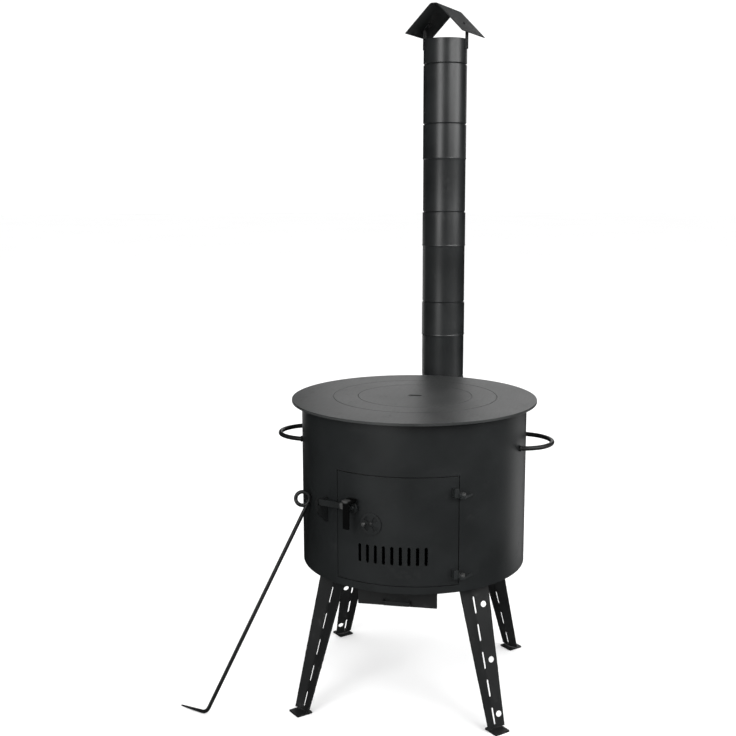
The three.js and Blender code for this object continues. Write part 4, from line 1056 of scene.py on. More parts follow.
@dataclass
class Door(Assembly):
    """The rolled fire door with its air slots, its hinges' eyes, the vent and the latch.

    The knob's line holds (radius, rise) pairs in millimetres.
    """

    drum: Drum
    gap: float = 1.5 * MM
    slot_count: int = 9
    slot_width: float = 6 * MM
    slot_length: float = 36 * MM
    slot_pitch: float = 16 * MM
    slot_turn: float = -1.4
    slot_height: float = 345 * MM
    slot_points: float = 3.5 * MM
    pitch: tuple[float, float] = (4 * MM, 5 * MM)
    tab_reach: float = 9 * MM
    tab_points: tuple[int, int] = (16, 5)
    knuckle: tuple[float, float] = (8 * MM, 17 * MM)
    knuckle_front: float = 237 * MM
    knuckle_top: float = 19 * MM
    knuckle_height: float = 17 * MM
    knuckle_points: int = 4
    vent_turn: float = -11.7
    vent_height: float = 403.5 * MM
    vent_radius: float = 21 * MM
    vent_wall: float = 2 * MM
    vent_inner: float = 6 * MM
    vent_outer: float = 16 * MM
    vent_count: int = 4
    vent_degrees: float = 38.0
    vent_shut: float = 45.0
    vent_points: float = 2.5 * MM
    vent_arcs: tuple[int, int] = (11, 7)
    vent_steps: int = 72
    knob_reach: float = 12.5 * MM
    knob_line: tuple = (
        (0, -2), (2, -2), (2, 0), (3.4, 0), (3, 3), (4, 4.5), (4, 6.6), (3.2, 7.6), (0, 8),
    )
    rivet: float = 2.5 * MM
    rivet_head: float = 4.5 * MM
    rivet_rise: float = 2 * MM
    latch_turn: float = LATCH_TURN
    latch_height: float = LATCH_HEIGHT
    bar_back: float = 231 * MM
    bar_front: float = BAR_FRONT
    bar_half: float = 6 * MM
    bar_reach: float = 76 * MM
    bar_nose: float = 6 * MM
    bar_play: float = 0.4 * MM
    boss: float = 11 * MM
    boss_points: int = 40
    grip_wall: float = 4 * MM
    shelf_top: float = 18 * MM
    shelf_reach: float = 21 * MM
    shelf_width: float = 19.5 * MM
    shelf_corner: float = 2 * MM
    web_half: float = 6.5 * MM
    web_wall: float = 3.8 * MM
    web_lap: float = 1 * MM
    web_inset: float = 0.1 * MM
    web_points: int = 8
    hang_width: float = 13 * MM
    hang_length: float = 53.8 * MM
    hang_corner: float = 2.5 * MM
    hang_drop: float = 0.2 * MM
    hang_inset: float = 0.05 * MM
    bolt: float = 3 * MM
    bolt_head: float = 5.5 * MM
    bolt_head_height: float = 4 * MM
    bolt_head_rim: float = 1.2 * MM
    bolt_tail: float = 6.5 * MM
    turned_steps: int = 32

    def vent_openings(self, turn: float) -> list[Array]:
        """The vent's openings: each the space between two arcs, a fixed angle wide.

        Args:
            turn: how far they are turned, in degrees.

        Returns:
            The openings' outlines about the vent's middle.
        """
        openings = []
        pitch = 360 / self.vent_count
        for i in range(self.vent_count):
            middle = pitch * (i + 0.5) + turn
            low, high = middle - self.vent_degrees / 2, middle + self.vent_degrees / 2
            outer = arc(self.vent_outer, low, high, self.vent_arcs[0])
            inner = arc(self.vent_inner, high, low, self.vent_arcs[1])
            openings.append(run(np.vstack([outer, inner]).tolist(), self.vent_points))
        return openings

    def panel(self) -> Skin:
        """The door as a flat pattern, across = radius * angle, with the air slots and the vent.

        Returns:
            The rolled door's skin.
        """
        radius = self.drum.radius
        half = radius * math.radians(self.drum.door_half) - self.gap
        low, high = self.drum.door_low + self.gap, self.drum.door_high - self.gap
        outline = run([(-half, low), (half, low), (half, high), (-half, high)], MEDIUM)

        def cut(loop: Array, degrees: float, height: float) -> Array:
            """A hole's outline, seen straight on at an angle and a height, with x made an arc's length."""
            across = radius * (np.arcsin(loop[:, 0] / radius) + math.radians(degrees))
            return np.stack([across, loop[:, 1] + height], axis=1)

        holes = [cut(loop, self.vent_turn, self.vent_height) for loop in self.vent_openings(self.vent_shut)]
        holes.append(cut(circle(self.rivet + PLAY, ROUND), self.vent_turn, self.vent_height))
        holes.append(cut(circle(self.bolt + PLAY, ROUND), self.latch_turn, self.latch_height))
        pitch = math.degrees(self.slot_pitch / radius)
        for i in range(self.slot_count):
            degrees = self.slot_turn + (i - (self.slot_count - 1) / 2) * pitch
            slit = run(stadium(self.slot_width, self.slot_length).tolist(), self.slot_points)
            holes.append(cut(slit, degrees, self.slot_height))
        return plate([outline, *holes], self.pitch, rolled_to(radius), self.drum.wall)

    def eye(self) -> Skin:
        """A door's hinge part: an eye with its tab, and the knuckle welded to the door.

        Returns:
            The part's skin at the front, over the lug's underside.
        """
        wall, reach, size = self.drum.radius + PLAY, self.drum.hinge_reach, self.drum.eye
        rim_points, drum_points = self.tab_points
        rim = arc(size, 90, -90, rim_points, (0.0, -reach))
        edge = -self.tab_reach
        start = math.degrees(math.asin(edge / wall))
        tab = np.vstack([rim, [[edge, -reach - size]], arc(wall, start - 90, -90, drum_points)])
        bore = circle(self.drum.pin + PLAY, ROUND, (0.0, -reach))
        top = 2 * self.drum.lug_wall + PLAY
        lug = plate([run(tab.tolist(), FINE), bore], (FINE, FINE), lying(top), self.drum.lug_wall)
        right, left = (-side for side in self.knuckle)
        front = -self.knuckle_front
        back = [math.degrees(math.asin(x / wall)) - 90 for x in (right, left)]
        block = np.vstack([[[left, front], [right, front]], arc(wall, *back, self.knuckle_points)])
        place = lying(self.knuckle_top)
        return lug + plate([run(block.tolist(), FINE)], (FINE, FINE), place, self.knuckle_height)

    def vent_disc(self) -> Skin:
        """The vent's disc: a flat plate with the same openings as the door.

        Returns:
            The disc's skin, made on the vent's own axis.
        """
        front = self.drum.radius + PLAY + self.vent_wall
        rim, bore = circle(self.vent_radius, self.vent_steps), circle(self.rivet + PLAY, ROUND)
        return plate([rim, *self.vent_openings(0), bore], (FINE, FINE), facing(front), self.vent_wall)

    def headed(self, profile: list[tuple[float, float]]) -> Skin:
        """A headed rod that points to the front, its profile in (radius, distance from the axis) pairs."""
        return lathe(profile, self.turned_steps).laid(TO_FRONT)

    def vent_knob(self) -> Skin:
        """The vent's knob: a button turned to a line in millimetres over the disc's face.

        Returns:
            The knob's skin, to the left of the vent's own axis.
        """
        root = self.drum.radius + PLAY + self.vent_wall + PLAY
        profile = [(radius * MM, root + rise * MM) for radius, rise in self.knob_line]
        return self.headed(profile).moved((-self.knob_reach, 0, 0))

    def vent_rivet(self) -> Skin:
        """The vent's rivet: a domed head over the disc, and a flat one inside.

        Returns:
            The rivet's skin, made on the vent's own axis.
        """
        outer = self.drum.radius + PLAY + self.vent_wall + PLAY
        inner = self.drum.radius - self.drum.wall - 2 * PLAY
        end = inner - self.rivet_rise
        return self.headed([
            (0, end), (self.rivet_head, end), (self.rivet_head, inner), (self.rivet, inner),
            (self.rivet, outer), *dome(self.rivet_head, outer, self.rivet_rise),
            (0, outer + self.rivet_rise),
        ])

    def latch_bar(self) -> Skin:
        """The bar with its boss: an arc round the pivot, then the bar's two edges to a sloped nose.

        Returns:
            The bar's skin, made on the pivot's own axis.
        """
        half, tip = self.bar_half, -self.bar_reach - self.bar_nose
        meet = math.degrees(math.asin(half / self.boss))
        rim = arc(self.boss, meet - 180, 180 - meet, self.boss_points)
        nose = [(-self.bar_reach, half), (tip, 0), (tip, -half)]
        outline = run(np.vstack([rim, nose]).tolist(), MEDIUM)
        bore = circle(self.bolt + self.bar_play, ROUND)
        wall = self.bar_front - self.bar_back
        return plate([outline, bore], (MEDIUM, MEDIUM), facing(self.bar_front), wall)

    def latch_grip(self) -> Skin:
        """The grip: a shelf over the boss, a web down to it, and a strip hanging from the shelf's edge.

        Returns:
            The grip's skin, made on the pivot's own axis.
        """
        front, top, wall = self.bar_front + self.shelf_reach, self.shelf_top, self.grip_wall
        size, middle = (self.shelf_width, front - self.bar_back), (0, -(front + self.bar_back) / 2)
        shelf = rounded(*size, self.shelf_corner, MEDIUM, middle)
        half, hollow, high = self.web_half, self.boss + PLAY, top - self.web_lap
        below = math.degrees(math.asin(half / hollow))
        under = arc(hollow, 90 + below, 90 - below, self.web_points)
        web = np.vstack([[[half, high], [-half, high]], under])
        size, middle = (self.hang_width, self.hang_length), (0, top - self.hang_drop - self.hang_length / 2)
        hang = rounded(*size, self.hang_corner, MEDIUM, middle)
        skin = plate([shelf], (MEDIUM, MEDIUM), lying(top), wall)
        place = facing(self.bar_front - self.web_inset)
        skin = skin + plate([run(web.tolist(), FINE)], (FINE, FINE), place, self.web_wall)
        return skin + plate([hang], (MEDIUM, MEDIUM), facing(front - self.hang_inset), wall)

    def latch_bolt(self) -> Skin:
        """The latch's pivot: a low domed head and a shank that runs through the door and the nut.

        Returns:
            The bolt's skin, made on the pivot's own axis.
        """
        head = self.bar_front + PLAY
        end = self.drum.radius - self.drum.wall - 2 * PLAY - self.bolt_tail
        rise = self.bolt_head_height - self.bolt_head_rim
        return self.headed([
            (0, end), (self.bolt, end), (self.bolt, head), (self.bolt_head, head),
            *dome(self.bolt_head, head + self.bolt_head_rim, rise), (0, head + self.bolt_head_height),
        ])

    def build(self) -> list[Piece]:
        """The door's pieces. The vent's and the latch's rows end with an edge in millimetres.

        Returns:
            The pieces, each at its place on the drum.
        """
        edge = self.drum.seam_edge
        pieces = [Piece("fire_door", self.panel(), "door", BODY_PAINT, ("door_panel",), edge=edge)]
        for name, low in self.drum.hinge_lows.items():
            skin = self.eye().turned(self.drum.hinge_turn).moved((0, 0, low))
            pieces.append(Piece(f"eye_{name}", skin, "door", HINGE_PAINT, (f"door_eye_{name}",)))
        vent = [
            ("vent_plate", self.vent_disc(), "vent", BODY_PAINT, "vent_disc", Slot.BODY, 0.3),
            ("vent_button", self.vent_knob(), "vent", KNOB_STEEL, "vent_knob", Slot.FASTENER, 0.2),
            ("vent_pin", self.vent_rivet(), "door", LEG_PAINT, "vent_rivet", Slot.FASTENER, 0.0),
        ]
        latch = [
            ("bar", self.latch_bar(), "latch", BAR_PAINT, "latch_bar", Slot.BODY, 0.5),
            ("grip", self.latch_grip(), "latch", GRIP_SHADE_AND_HIGHLIGHT_PAINT, "latch_grip", Slot.BODY, 0.5),
            ("pivot_bolt", self.latch_bolt(), "door", BODY_PAINT, "latch_bolt", Slot.FASTENER, 0.0),
        ]
        for group, degrees, height in (
            (vent, self.vent_turn, self.vent_height), (latch, self.latch_turn, self.latch_height),
        ):
            for name, skin, body, finish, node, slot, edge in group:
                placed = skin.turned(degrees).moved((0, 0, height))
                pieces.append(Piece(name, placed, body, finish, (node,), slot, edge * MM))
        return pieces


@dataclass
class Legs(Assembly):
    """Four folded legs with slots along the fold, and their feet.

    Each leg is fitted at a turn round the drum, with a skew about its fold, drilled or not.
    """

    fitted: dict[str, tuple[float, float, bool]] = field(default_factory=lambda: {
        "back_right": (45, 10, False), "back_left": (135, 0, True),
        "front_left": (225, 10, False), "front_right": (315, 0, True),
    })
    wall: float = 3 * MM
    pitch: tuple[float, float] = (3.5 * MM, 6 * MM)
    rim_points: float = 5 * MM
    rim_samples: tuple[int, int] = (13, 19)
    foot_place: tuple[float, float] = (266.5 * MM, 3.3 * MM)
    top_place: tuple[float, float] = (185.5 * MM, 273.7 * MM)
    flange_degrees: float = 76.0
    top_width: float = 36 * MM
    foot_width: float = 20 * MM
    bend: float = 9 * MM
    slots: int = 5
    slot_width: float = 5 * MM
    slot_length: float = 33 * MM
    slot_from_foot: float = 5 * MM
    slot_from_top: float = 32 * MM
    hole: float = 6 * MM
    hole_steps: int = 28
    hole_height_shares: tuple[float, ...] = (0.083, 0.447, 0.822)
    hole_width_share: float = 0.58
    foot_side: float = 34 * MM
    foot_wall: float = 3 * MM
    foot_shift: float = 6 * MM
    foot_corner: float = 2 * MM

    def leg(self, skew: float, drilled: bool) -> Skin:
        """A leg that leans along +X, folded along its length.

        The pattern's across u runs to both flanges and its along v up the fold. Across the fold the
        sheet follows an arc of radius b up to its side's slope a, then runs straight: with
        w = min(|u|, b a), side = sign(u) (b sin(w / b) + (|u| - w) cos a) and
        out = b (1 - cos(w / b)) + (|u| - w) sin a.

        Args:
            skew: how far the leg is turned about its fold, in degrees.
            drilled: whether its right flange, seen from outside, has the round holes.

        Returns:
            The leg's skin.
        """
        foot = np.array([self.foot_place[0], 0, self.foot_place[1]])
        top = np.array([self.top_place[0], 0, self.top_place[1]])
        length = float(np.linalg.norm(top - foot))
        along = (top - foot) / length
        side = np.cross(UP, RIGHT)
        out = np.cross(side, along)
        angles = (math.radians(self.flange_degrees + skew * sign) for sign in (1, -1))
        slopes = [math.atan2(math.cos(angle) * out[0], math.sin(angle)) for angle in angles]

        def fold(u: Array, depth: Array) -> tuple[Array, Array]:
            """How far to the side and outwards a point of the sheet lies.

            Args:
                u: the pattern's across.
                depth: how far in from the fold's line the point lies.

            Returns:
                The two distances.
            """
            slope = np.where(u > 0, *slopes)
            w = np.minimum(np.abs(u), self.bend * slope)
            rest, turn = np.abs(u) - w, w / self.bend
            to_side = self.bend * np.sin(turn) + rest * np.cos(slope) + depth * np.sin(turn)
            outwards = self.bend * (1 - np.cos(turn)) + rest * np.sin(slope) - depth * np.cos(turn)
            return np.sign(u) * to_side, outwards

        def place(u: Array, v: Array, depth: Array) -> Array:
            """The place of a point of the pattern, with the sheet's middle on the fold's line."""
            to_side, outwards = fold(u, depth - self.wall / 2)
            return foot + v[:, None] * along + to_side[:, None] * side + outwards[:, None] * out

        def level(u: Array, v: float) -> Array:
            """A cut that is level in the room: v drops as the flanges lean outwards."""
            return v - fold(u, np.zeros_like(u))[1] * out[2] / along[2]

        low = np.linspace(-self.foot_width, self.foot_width, self.rim_samples[0])
        high = np.linspace(self.top_width, -self.top_width, self.rim_samples[1])
        margin = self.wall / 2
        rim = np.vstack([
            np.stack([low, level(low, margin)], axis=1),
            np.stack([high, level(high, length - margin)], axis=1),
        ])
        loops = [run(rim.tolist(), self.rim_points)]
        first = self.slot_from_foot + self.slot_length / 2
        last = length - self.slot_from_top - self.slot_length / 2
        for middle in np.linspace(first, last, self.slots):
            loops.append(run(stadium(self.slot_width, self.slot_length, (0, middle)).tolist(), MEDIUM))
        for share in self.hole_height_shares if drilled else ():
            width = self.foot_width + (self.top_width - self.foot_width) * share
            middle = (self.hole_width_share * width, share * length)
            loops.append(circle(self.hole, self.hole_steps, middle))
        return plate(loops, self.pitch, place, self.wall)

    def foot(self) -> Skin:
        """A foot: a square plate with eased corners.

        Returns:
            The foot's skin, on the ground towards +X.
        """
        middle = (self.foot_place[0] + self.foot_shift, 0)
        outline = rounded(self.foot_side, self.foot_side, self.foot_corner, COARSE, middle)
        return plate([outline], (COARSE, COARSE), lying(self.foot_wall), self.foot_wall)

    def build(self) -> list[Piece]:
        """The four legs and the four feet.

        Returns:
            The eight pieces, each at its place under the drum.
        """
        pieces = []
        for name, (turn, skew, drilled) in self.fitted.items():
            leg, foot = self.leg(skew, drilled).turned(turn), self.foot().turned(turn)
            pieces.append(Piece(f"folded_leg_{name}", leg, "stove_body", LEG_PAINT, (f"leg_{name}",)))
            pieces.append(Piece(f"foot_plate_{name}", foot, "stove_body", LEG_PAINT, (f"foot_{name}",)))
        return pieces


@dataclass
class DrawerFront(Assembly):
    """The ash drawer's face and the strip that it is pulled by."""

    half: float = 76 * MM
    low: float = 236 * MM
    high: float = 271 * MM
    front: float = 195.3 * MM
    wall: float = 2 * MM
    corner: float = 2 * MM
    pull_half: float = 26 * MM
    pull_reach: float = 208.6 * MM
    pull_low: float = 241 * MM
    pull_high: float = 249 * MM
    pull_bend: float = 4 * MM

    def build(self) -> list[Piece]:
        """The face, a plate with eased corners, and the pull, a strip folded into a bow.

        Returns:
            The two pieces, shut.
        """
        middle = (self.low + self.high) / 2
        outline = rounded(2 * self.half, self.high - self.low, self.corner, COARSE, (0, middle))
        face = plate([outline], (COARSE, COARSE), facing(self.front), self.wall)
        side = self.pull_half - self.wall / 2
        near, far = self.wall / 2 - self.pull_reach, -self.front - PLAY
        height = (self.pull_low + self.pull_high) / 2
        bow = ((-side, far), (-side, near), (side, near), (side, far))
        corners = [np.array([x, y, height]) for x, y in bow]
        pull = strip(softened(corners, self.pull_bend), self.wall, self.pull_high - self.pull_low, UP)
        return [
            Piece("drawer_front", face, "drawer", LEG_PAINT, ("drawer_face",)),
            Piece("drawer_bow", pull, "drawer", LEG_PAINT, ("drawer_pull",)),
        ]


@dataclass
class Hob(Assembly):
    """The hob's rim plate, its lift-out ring and its centre plate.

    The skirt under the rim is given by its inner and outer radius and its lower edge.
    """

    radius: float = 245 * MM
    low: float = 597.3 * MM
    top: float = 602.3 * MM
    ring: float = 165 * MM
    centre: float = 115 * MM
    back: float = 14 * MM
    ledge: float = 5 * MM
    ledge_top: float = 599.65 * MM
    play: float = 0.5 * MM
    skirt: tuple[float, float, float] = (216.5 * MM, 219.5 * MM, 589.3 * MM)
    slot_length: float = 28 * MM
    slot_width: float = 12 * MM
    pitch: float = 9 * MM
    edge: float = 0.6 * MM
    segments: int = 192

    def hole(self, radius: float) -> list[tuple]:
        """The stepped edge of a hole, as rings set back from the drum's axis.

        Args:
            radius: the hole's radius at the top.

        Returns:
            The rings from the top down.
        """
        back, step = self.back, self.ledge_top
        neck = radius - self.ledge
        return [(radius, self.top, back), (radius, step, back), (neck, step, back), (neck, self.low, back)]

    def plug(self, radius: float) -> list[tuple]:
        """The stepped edge of what drops into a hole, as rings set back like the hole's.

        Args:
            radius: the hole's radius at the top.

        Returns:
            The rings from the bottom up.
        """
        size, step = radius - self.play, self.ledge_top + PLAY
        neck, back = size - self.ledge, self.back
        return [(neck, self.low, back), (neck, step, back), (size, step, back), (size, self.top, back)]

    def build(self) -> list[Piece]:
        """The hob, from the rim to the middle. The slot is turned to lie across.

        Returns:
            The three pieces, flush with one another.
        """
        rim = lathe([(self.radius, self.low), (self.radius, self.top), *self.hole(self.ring)], self.segments)
        inner, outer, bottom = self.skirt
        skirt = [(inner, bottom), (outer, bottom), (outer, self.low), (inner, self.low)]
        rim = rim + lathe(skirt, self.segments)
        ring = lathe([*self.plug(self.ring), *self.hole(self.centre)], self.segments)
        slot = run(stadium(self.slot_width, self.slot_length)[:, ::-1].tolist(), FINE)
        slot = slot + np.array([0, self.back])
        lid = []
        for radius, _, _ in (self.plug(self.centre)[3], self.plug(self.centre)[0]):
            lid.append([circle(radius, self.segments, (0, self.back)), slot[::-1]])
        step = self.ledge_top + PLAY
        pitch = (self.pitch, self.pitch)
        upper = plate(lid[0], pitch, lying(self.top), self.top - step)
        lower = plate(lid[1], pitch, lying(step), step - self.low)
        return [
            Piece("hob_rim", rim, "hob", HOB_STEEL, ("hob_plate",), Slot.HOB, self.edge),
            Piece("hob_inset_ring", ring, "lift_ring", HOB_STEEL, ("hob_ring",), Slot.HOB),
            Piece("hob_lid", upper + lower, "lift_centre", HOB_STEEL, ("hob_centre",), Slot.HOB),
        ]


@dataclass
class Flue(Assembly):
    """The outlet, the elbow, the four pipes, and the rain cap over them.

    The spigot is given by how far behind the drum's axis it starts and ends.
    """

    drum: Drum
    setback: float = 450 * MM
    bend: float = 65 * MM
    wall: float = 2 * MM
    socket: float = 50.2 * MM
    male: float = 47.9 * MM
    pipe: float = 49.4 * MM
    lap: float = 40 * MM
    spigot: tuple[float, float] = (213.8 * MM, 325 * MM)
    mouth: float = 285 * MM
    straight: float = 12 * MM
    bend_rings: int = 29
    socket_depth: float = 73 * MM
    bead_height: float = 6 * MM
    bead_rise: float = 0.9 * MM
    bead_rings: int = 13
    taper: float = 4 * MM
    groove: float = 1.8 * MM
    lengths: dict[str, float] = field(default_factory=lambda: {
        "first": 179 * MM, "second": 211 * MM, "third": 200.5 * MM, "top": 133.5 * MM,
    })
    collar: float = 57.5 * MM
    cap_turn: float = 76.9
    strap_width: float = 17 * MM
    strap_lap: float = 22 * MM
    strap_foot: float = 15 * MM
    strap_bend: float = 3 * MM
    roof_length: float = 154 * MM
    roof_half: float = 69 * MM
    ridge_half: float = 8 * MM
    roof_rise: float = 62 * MM
    roof_over_rim: float = 9.5 * MM
    roof_bend: float = 4 * MM
    rivet_head: float = 3.6 * MM
    rivet_rise: float = 1.5 * MM
    rivet_stem: float = 1.8 * MM
    rivet_rings: int = 6
    edge: float = 0.3 * MM
    segments: int = 96

    @property
    def slope(self) -> float:
        """The roof's slope."""
        return math.atan2(self.roof_rise, self.roof_half - self.ridge_half)

    def elbow(self) -> Skin:
        """A quarter bend between two straight ends: circles on the outside and on the inside of its path.

        Returns:
            The elbow's skin, its mouth round the outlet.
        """
        axis = self.drum.outlet_height
        turn = np.linspace(0, math.pi / 2, self.bend_rings)
        start, rise = self.setback - self.bend, axis + self.bend
        bend_y, bend_z = start + self.bend * np.sin(turn), rise - self.bend * np.cos(turn)
        y = np.concatenate([[self.mouth, self.mouth + self.straight], bend_y, [self.setback, self.setback]])
        top = rise + self.lap
        z = np.concatenate([[axis, axis], bend_z, [top - self.straight, top]])
        path = np.stack([0 * y, y, z], axis=1)
        tangent = np.gradient(path, axis=0)
        tangent /= np.linalg.norm(tangent, axis=1, keepdims=True)
        across = np.cross(tangent, RIGHT)
        angle = np.arange(self.segments) * TURN / self.segments

        def tube(radius: float) -> Array:
            """Circles round the path: path + radius (cos a across + sin a x)."""
            sideways = np.sin(angle)[None, :, None] * RIGHT
            return path[:, None] + radius * (np.cos(angle)[None, :, None] * across[:, None] + sideways)

        rows = np.concatenate([tube(self.socket), tube(self.socket - self.wall)[::-1]])
        return grid_skin(rows, True, True).outward()

    def pipe_skin(self, low: float, wall: list[tuple[float, float]]) -> Skin:
        """A pipe: its narrowed end, then the given outer line, and the same line a wall further in.

        Args:
            low: the height that its wide part starts from.
            wall: the outer line from there up, in (radius, height) pairs.

        Returns:
            The pipe's skin, on its own axis.
        """
        outer = [(self.male, low - self.lap), (self.male, low + self.groove), *wall]
        inner = [(radius - self.wall, height) for radius, height in reversed(outer)]
        return lathe([*outer, *inner], self.segments)

    def beaded(self, low: float, high: float) -> Skin:
        """A pipe with a stop bead under its socket: radius = line + rise * sin^2 over the bead.

        Args:
            low: the height that its wide part starts from.
            high: the height of its rim.

        Returns:
            The pipe's skin, on its own axis.
        """
        base = high - self.socket_depth - self.bead_height
        share = np.linspace(0, 1, self.bead_rings)
        radius = self.pipe + (self.socket - self.pipe) * share + self.bead_rise * np.sin(math.pi * share) ** 2
        line = list(zip(radius.tolist(), (base + self.bead_height * share).tolist()))
        return self.pipe_skin(low, [(self.pipe, low + self.taper), *line, (self.socket, high)])

    def plain(self, low: float, high: float) -> Skin:
        """A pipe that is as wide as a socket all the way."""
        return self.pipe_skin(low, [(self.socket, low + self.taper), (self.socket, high)])

    def under_roof(self, reach: float, depth: float) -> float:
        """The height of a line a depth under the roof's slope, over the cap's joint."""
        eave = self.collar + self.roof_over_rim
        return eave + (self.roof_half - reach) * math.tan(self.slope) - depth / math.cos(self.slope)

    def strap(self) -> Skin:
        """A strap: up the collar, then folded in under the roof.

        Returns:
            The strap's skin, at the front of the cap's own axis.
        """
        middle = self.socket + PLAY + self.wall / 2
        depth = self.wall + PLAY + self.wall / 2
        bend, end = self.under_roof(middle, depth), middle + self.wall / 2 - self.strap_foot
        places = ((middle, self.collar - self.strap_lap), (middle, bend), (end, self.under_roof(end, depth)))
        corners = [np.array([0.0, -reach, height]) for reach, height in places]
        return strip(softened(corners, self.strap_bend), self.wall, self.strap_width, RIGHT)

    def roof(self) -> Skin:
        """The roof: one sheet folded twice at the ridge, its ridge along X.

        Returns:
            The roof's skin, over the cap's own axis.
        """
        half = self.wall / 2
        side, top = self.roof_half - half * math.sin(self.slope), self.under_roof(self.roof_half, 0)
        eave = (side, top - half * math.cos(self.slope))
        side, top = self.ridge_half - half * math.tan(self.slope / 2), self.under_roof(self.ridge_half, 0)
        ridge = (side, top - half)
        places = [(-eave[0], eave[1]), (-ridge[0], ridge[1]), ridge, eave]
        corners = [np.array([0.0, reach, height]) for reach, height in places]
        return strip(softened(corners, self.roof_bend), self.wall, self.roof_length, RIGHT)

    def rivet(self, grip: float) -> Skin:
        """A rivet with domed heads, about the upright axis.

        Args:
            grip: how thick the sheets are that it holds, which lie under height 0.

        Returns:
            The rivet's skin.
        """
        over = dome(self.rivet_head, PLAY, self.rivet_rise, self.rivet_rings)
        under = [(radius, -grip - height) for radius, height in reversed(over)]
        top, bottom, stem = PLAY + self.rivet_rise, -grip - PLAY - self.rivet_rise, self.rivet_stem
        return lathe([(0, bottom), *under, (stem, -grip - PLAY), (stem, PLAY), *over, (0, top)], ROUND)

    def cap_pieces(self, joint: float) -> list[Piece]:
        """The rain cap's pieces.

        Args:
            joint: the height that the collar starts from.

        Returns:
            The collar, the roof, and a strap with its two rivets on each side.
        """
        body, ring = "rain_cap", self.plain(0, self.collar)
        pieces = [
            Piece("cap_ring", ring, body, FLUE_PAINT, ("cap_collar",), Slot.FLUE, self.edge),
            Piece("cap_sheet", self.roof(), body, CAP_PAINT, ("cap_roof",), Slot.FLUE),
        ]
        outer = self.socket + PLAY + self.wall
        reach = outer - self.strap_foot / 2
        low = self.rivet(2 * self.wall + 2 * PLAY).laid(TO_FRONT)
        low = low.moved((0, -outer, self.collar - self.strap_lap / 2))
        c, s = math.cos(self.slope), math.sin(self.slope)
        high = self.rivet(2 * self.wall + PLAY).laid([[1, 0, 0], [0, c, -s], [0, s, c]])
        high = high.moved((0, -reach, self.under_roof(reach, 0)))
        for name, turn in (("right", 0), ("left", 180)):
            strap, node = self.strap().turned(turn), f"cap_strap_{name}"
            pieces.append(Piece(f"strap_{name}", strap, body, CAP_PAINT, (node,), Slot.FLUE))
            for end, skin in (("low", low), ("high", high)):
                head, node = skin.turned(turn), f"cap_rivet_{name}_{end}"
                made = Piece(f"rivet_{name}_{end}", head, body, LEG_PAINT, (node,), Slot.FASTENER, 0.0)
                pieces.append(made)
        for piece in pieces:
            piece.skin = piece.skin.turned(self.cap_turn).moved((0, self.setback, joint))
        return pieces

    def build(self) -> list[Piece]:
        """The flue's pieces from the drum upwards.

        Returns:
            The outlet, the elbow, the pipes and the rain cap's pieces.
        """
        near, far = self.spigot
        outer, inner = self.male, self.male - self.wall
        ring = lathe([(outer, near), (outer, far), (inner, far), (inner, near)], self.segments)
        spigot = ring.laid(TO_BACK).moved((0, 0, self.drum.outlet_height))
        pieces = [
            Piece("outlet", spigot, "stove_body", FLUE_PAINT, ("flue_spigot",), Slot.FLUE, self.edge),
            Piece("elbow_bend", self.elbow(), "elbow", FLUE_PAINT, ("flue_elbow",), Slot.FLUE, self.edge),
        ]
        low = self.drum.outlet_height + self.bend + self.lap + PLAY
        for name, length in self.lengths.items():
            make = self.plain if name == "top" else self.beaded
            skin = make(low, low + length - PLAY).moved((0, self.setback, 0))
            body = "flue_last" if name == "top" else f"flue_{name}"
            made = Piece(f"flue_pipe_{name}", skin, body, FLUE_PAINT, (f"pipe_{name}",), Slot.FLUE, self.edge)
            pieces.append(made)
            low += length
        return pieces + self.cap_pieces(low)


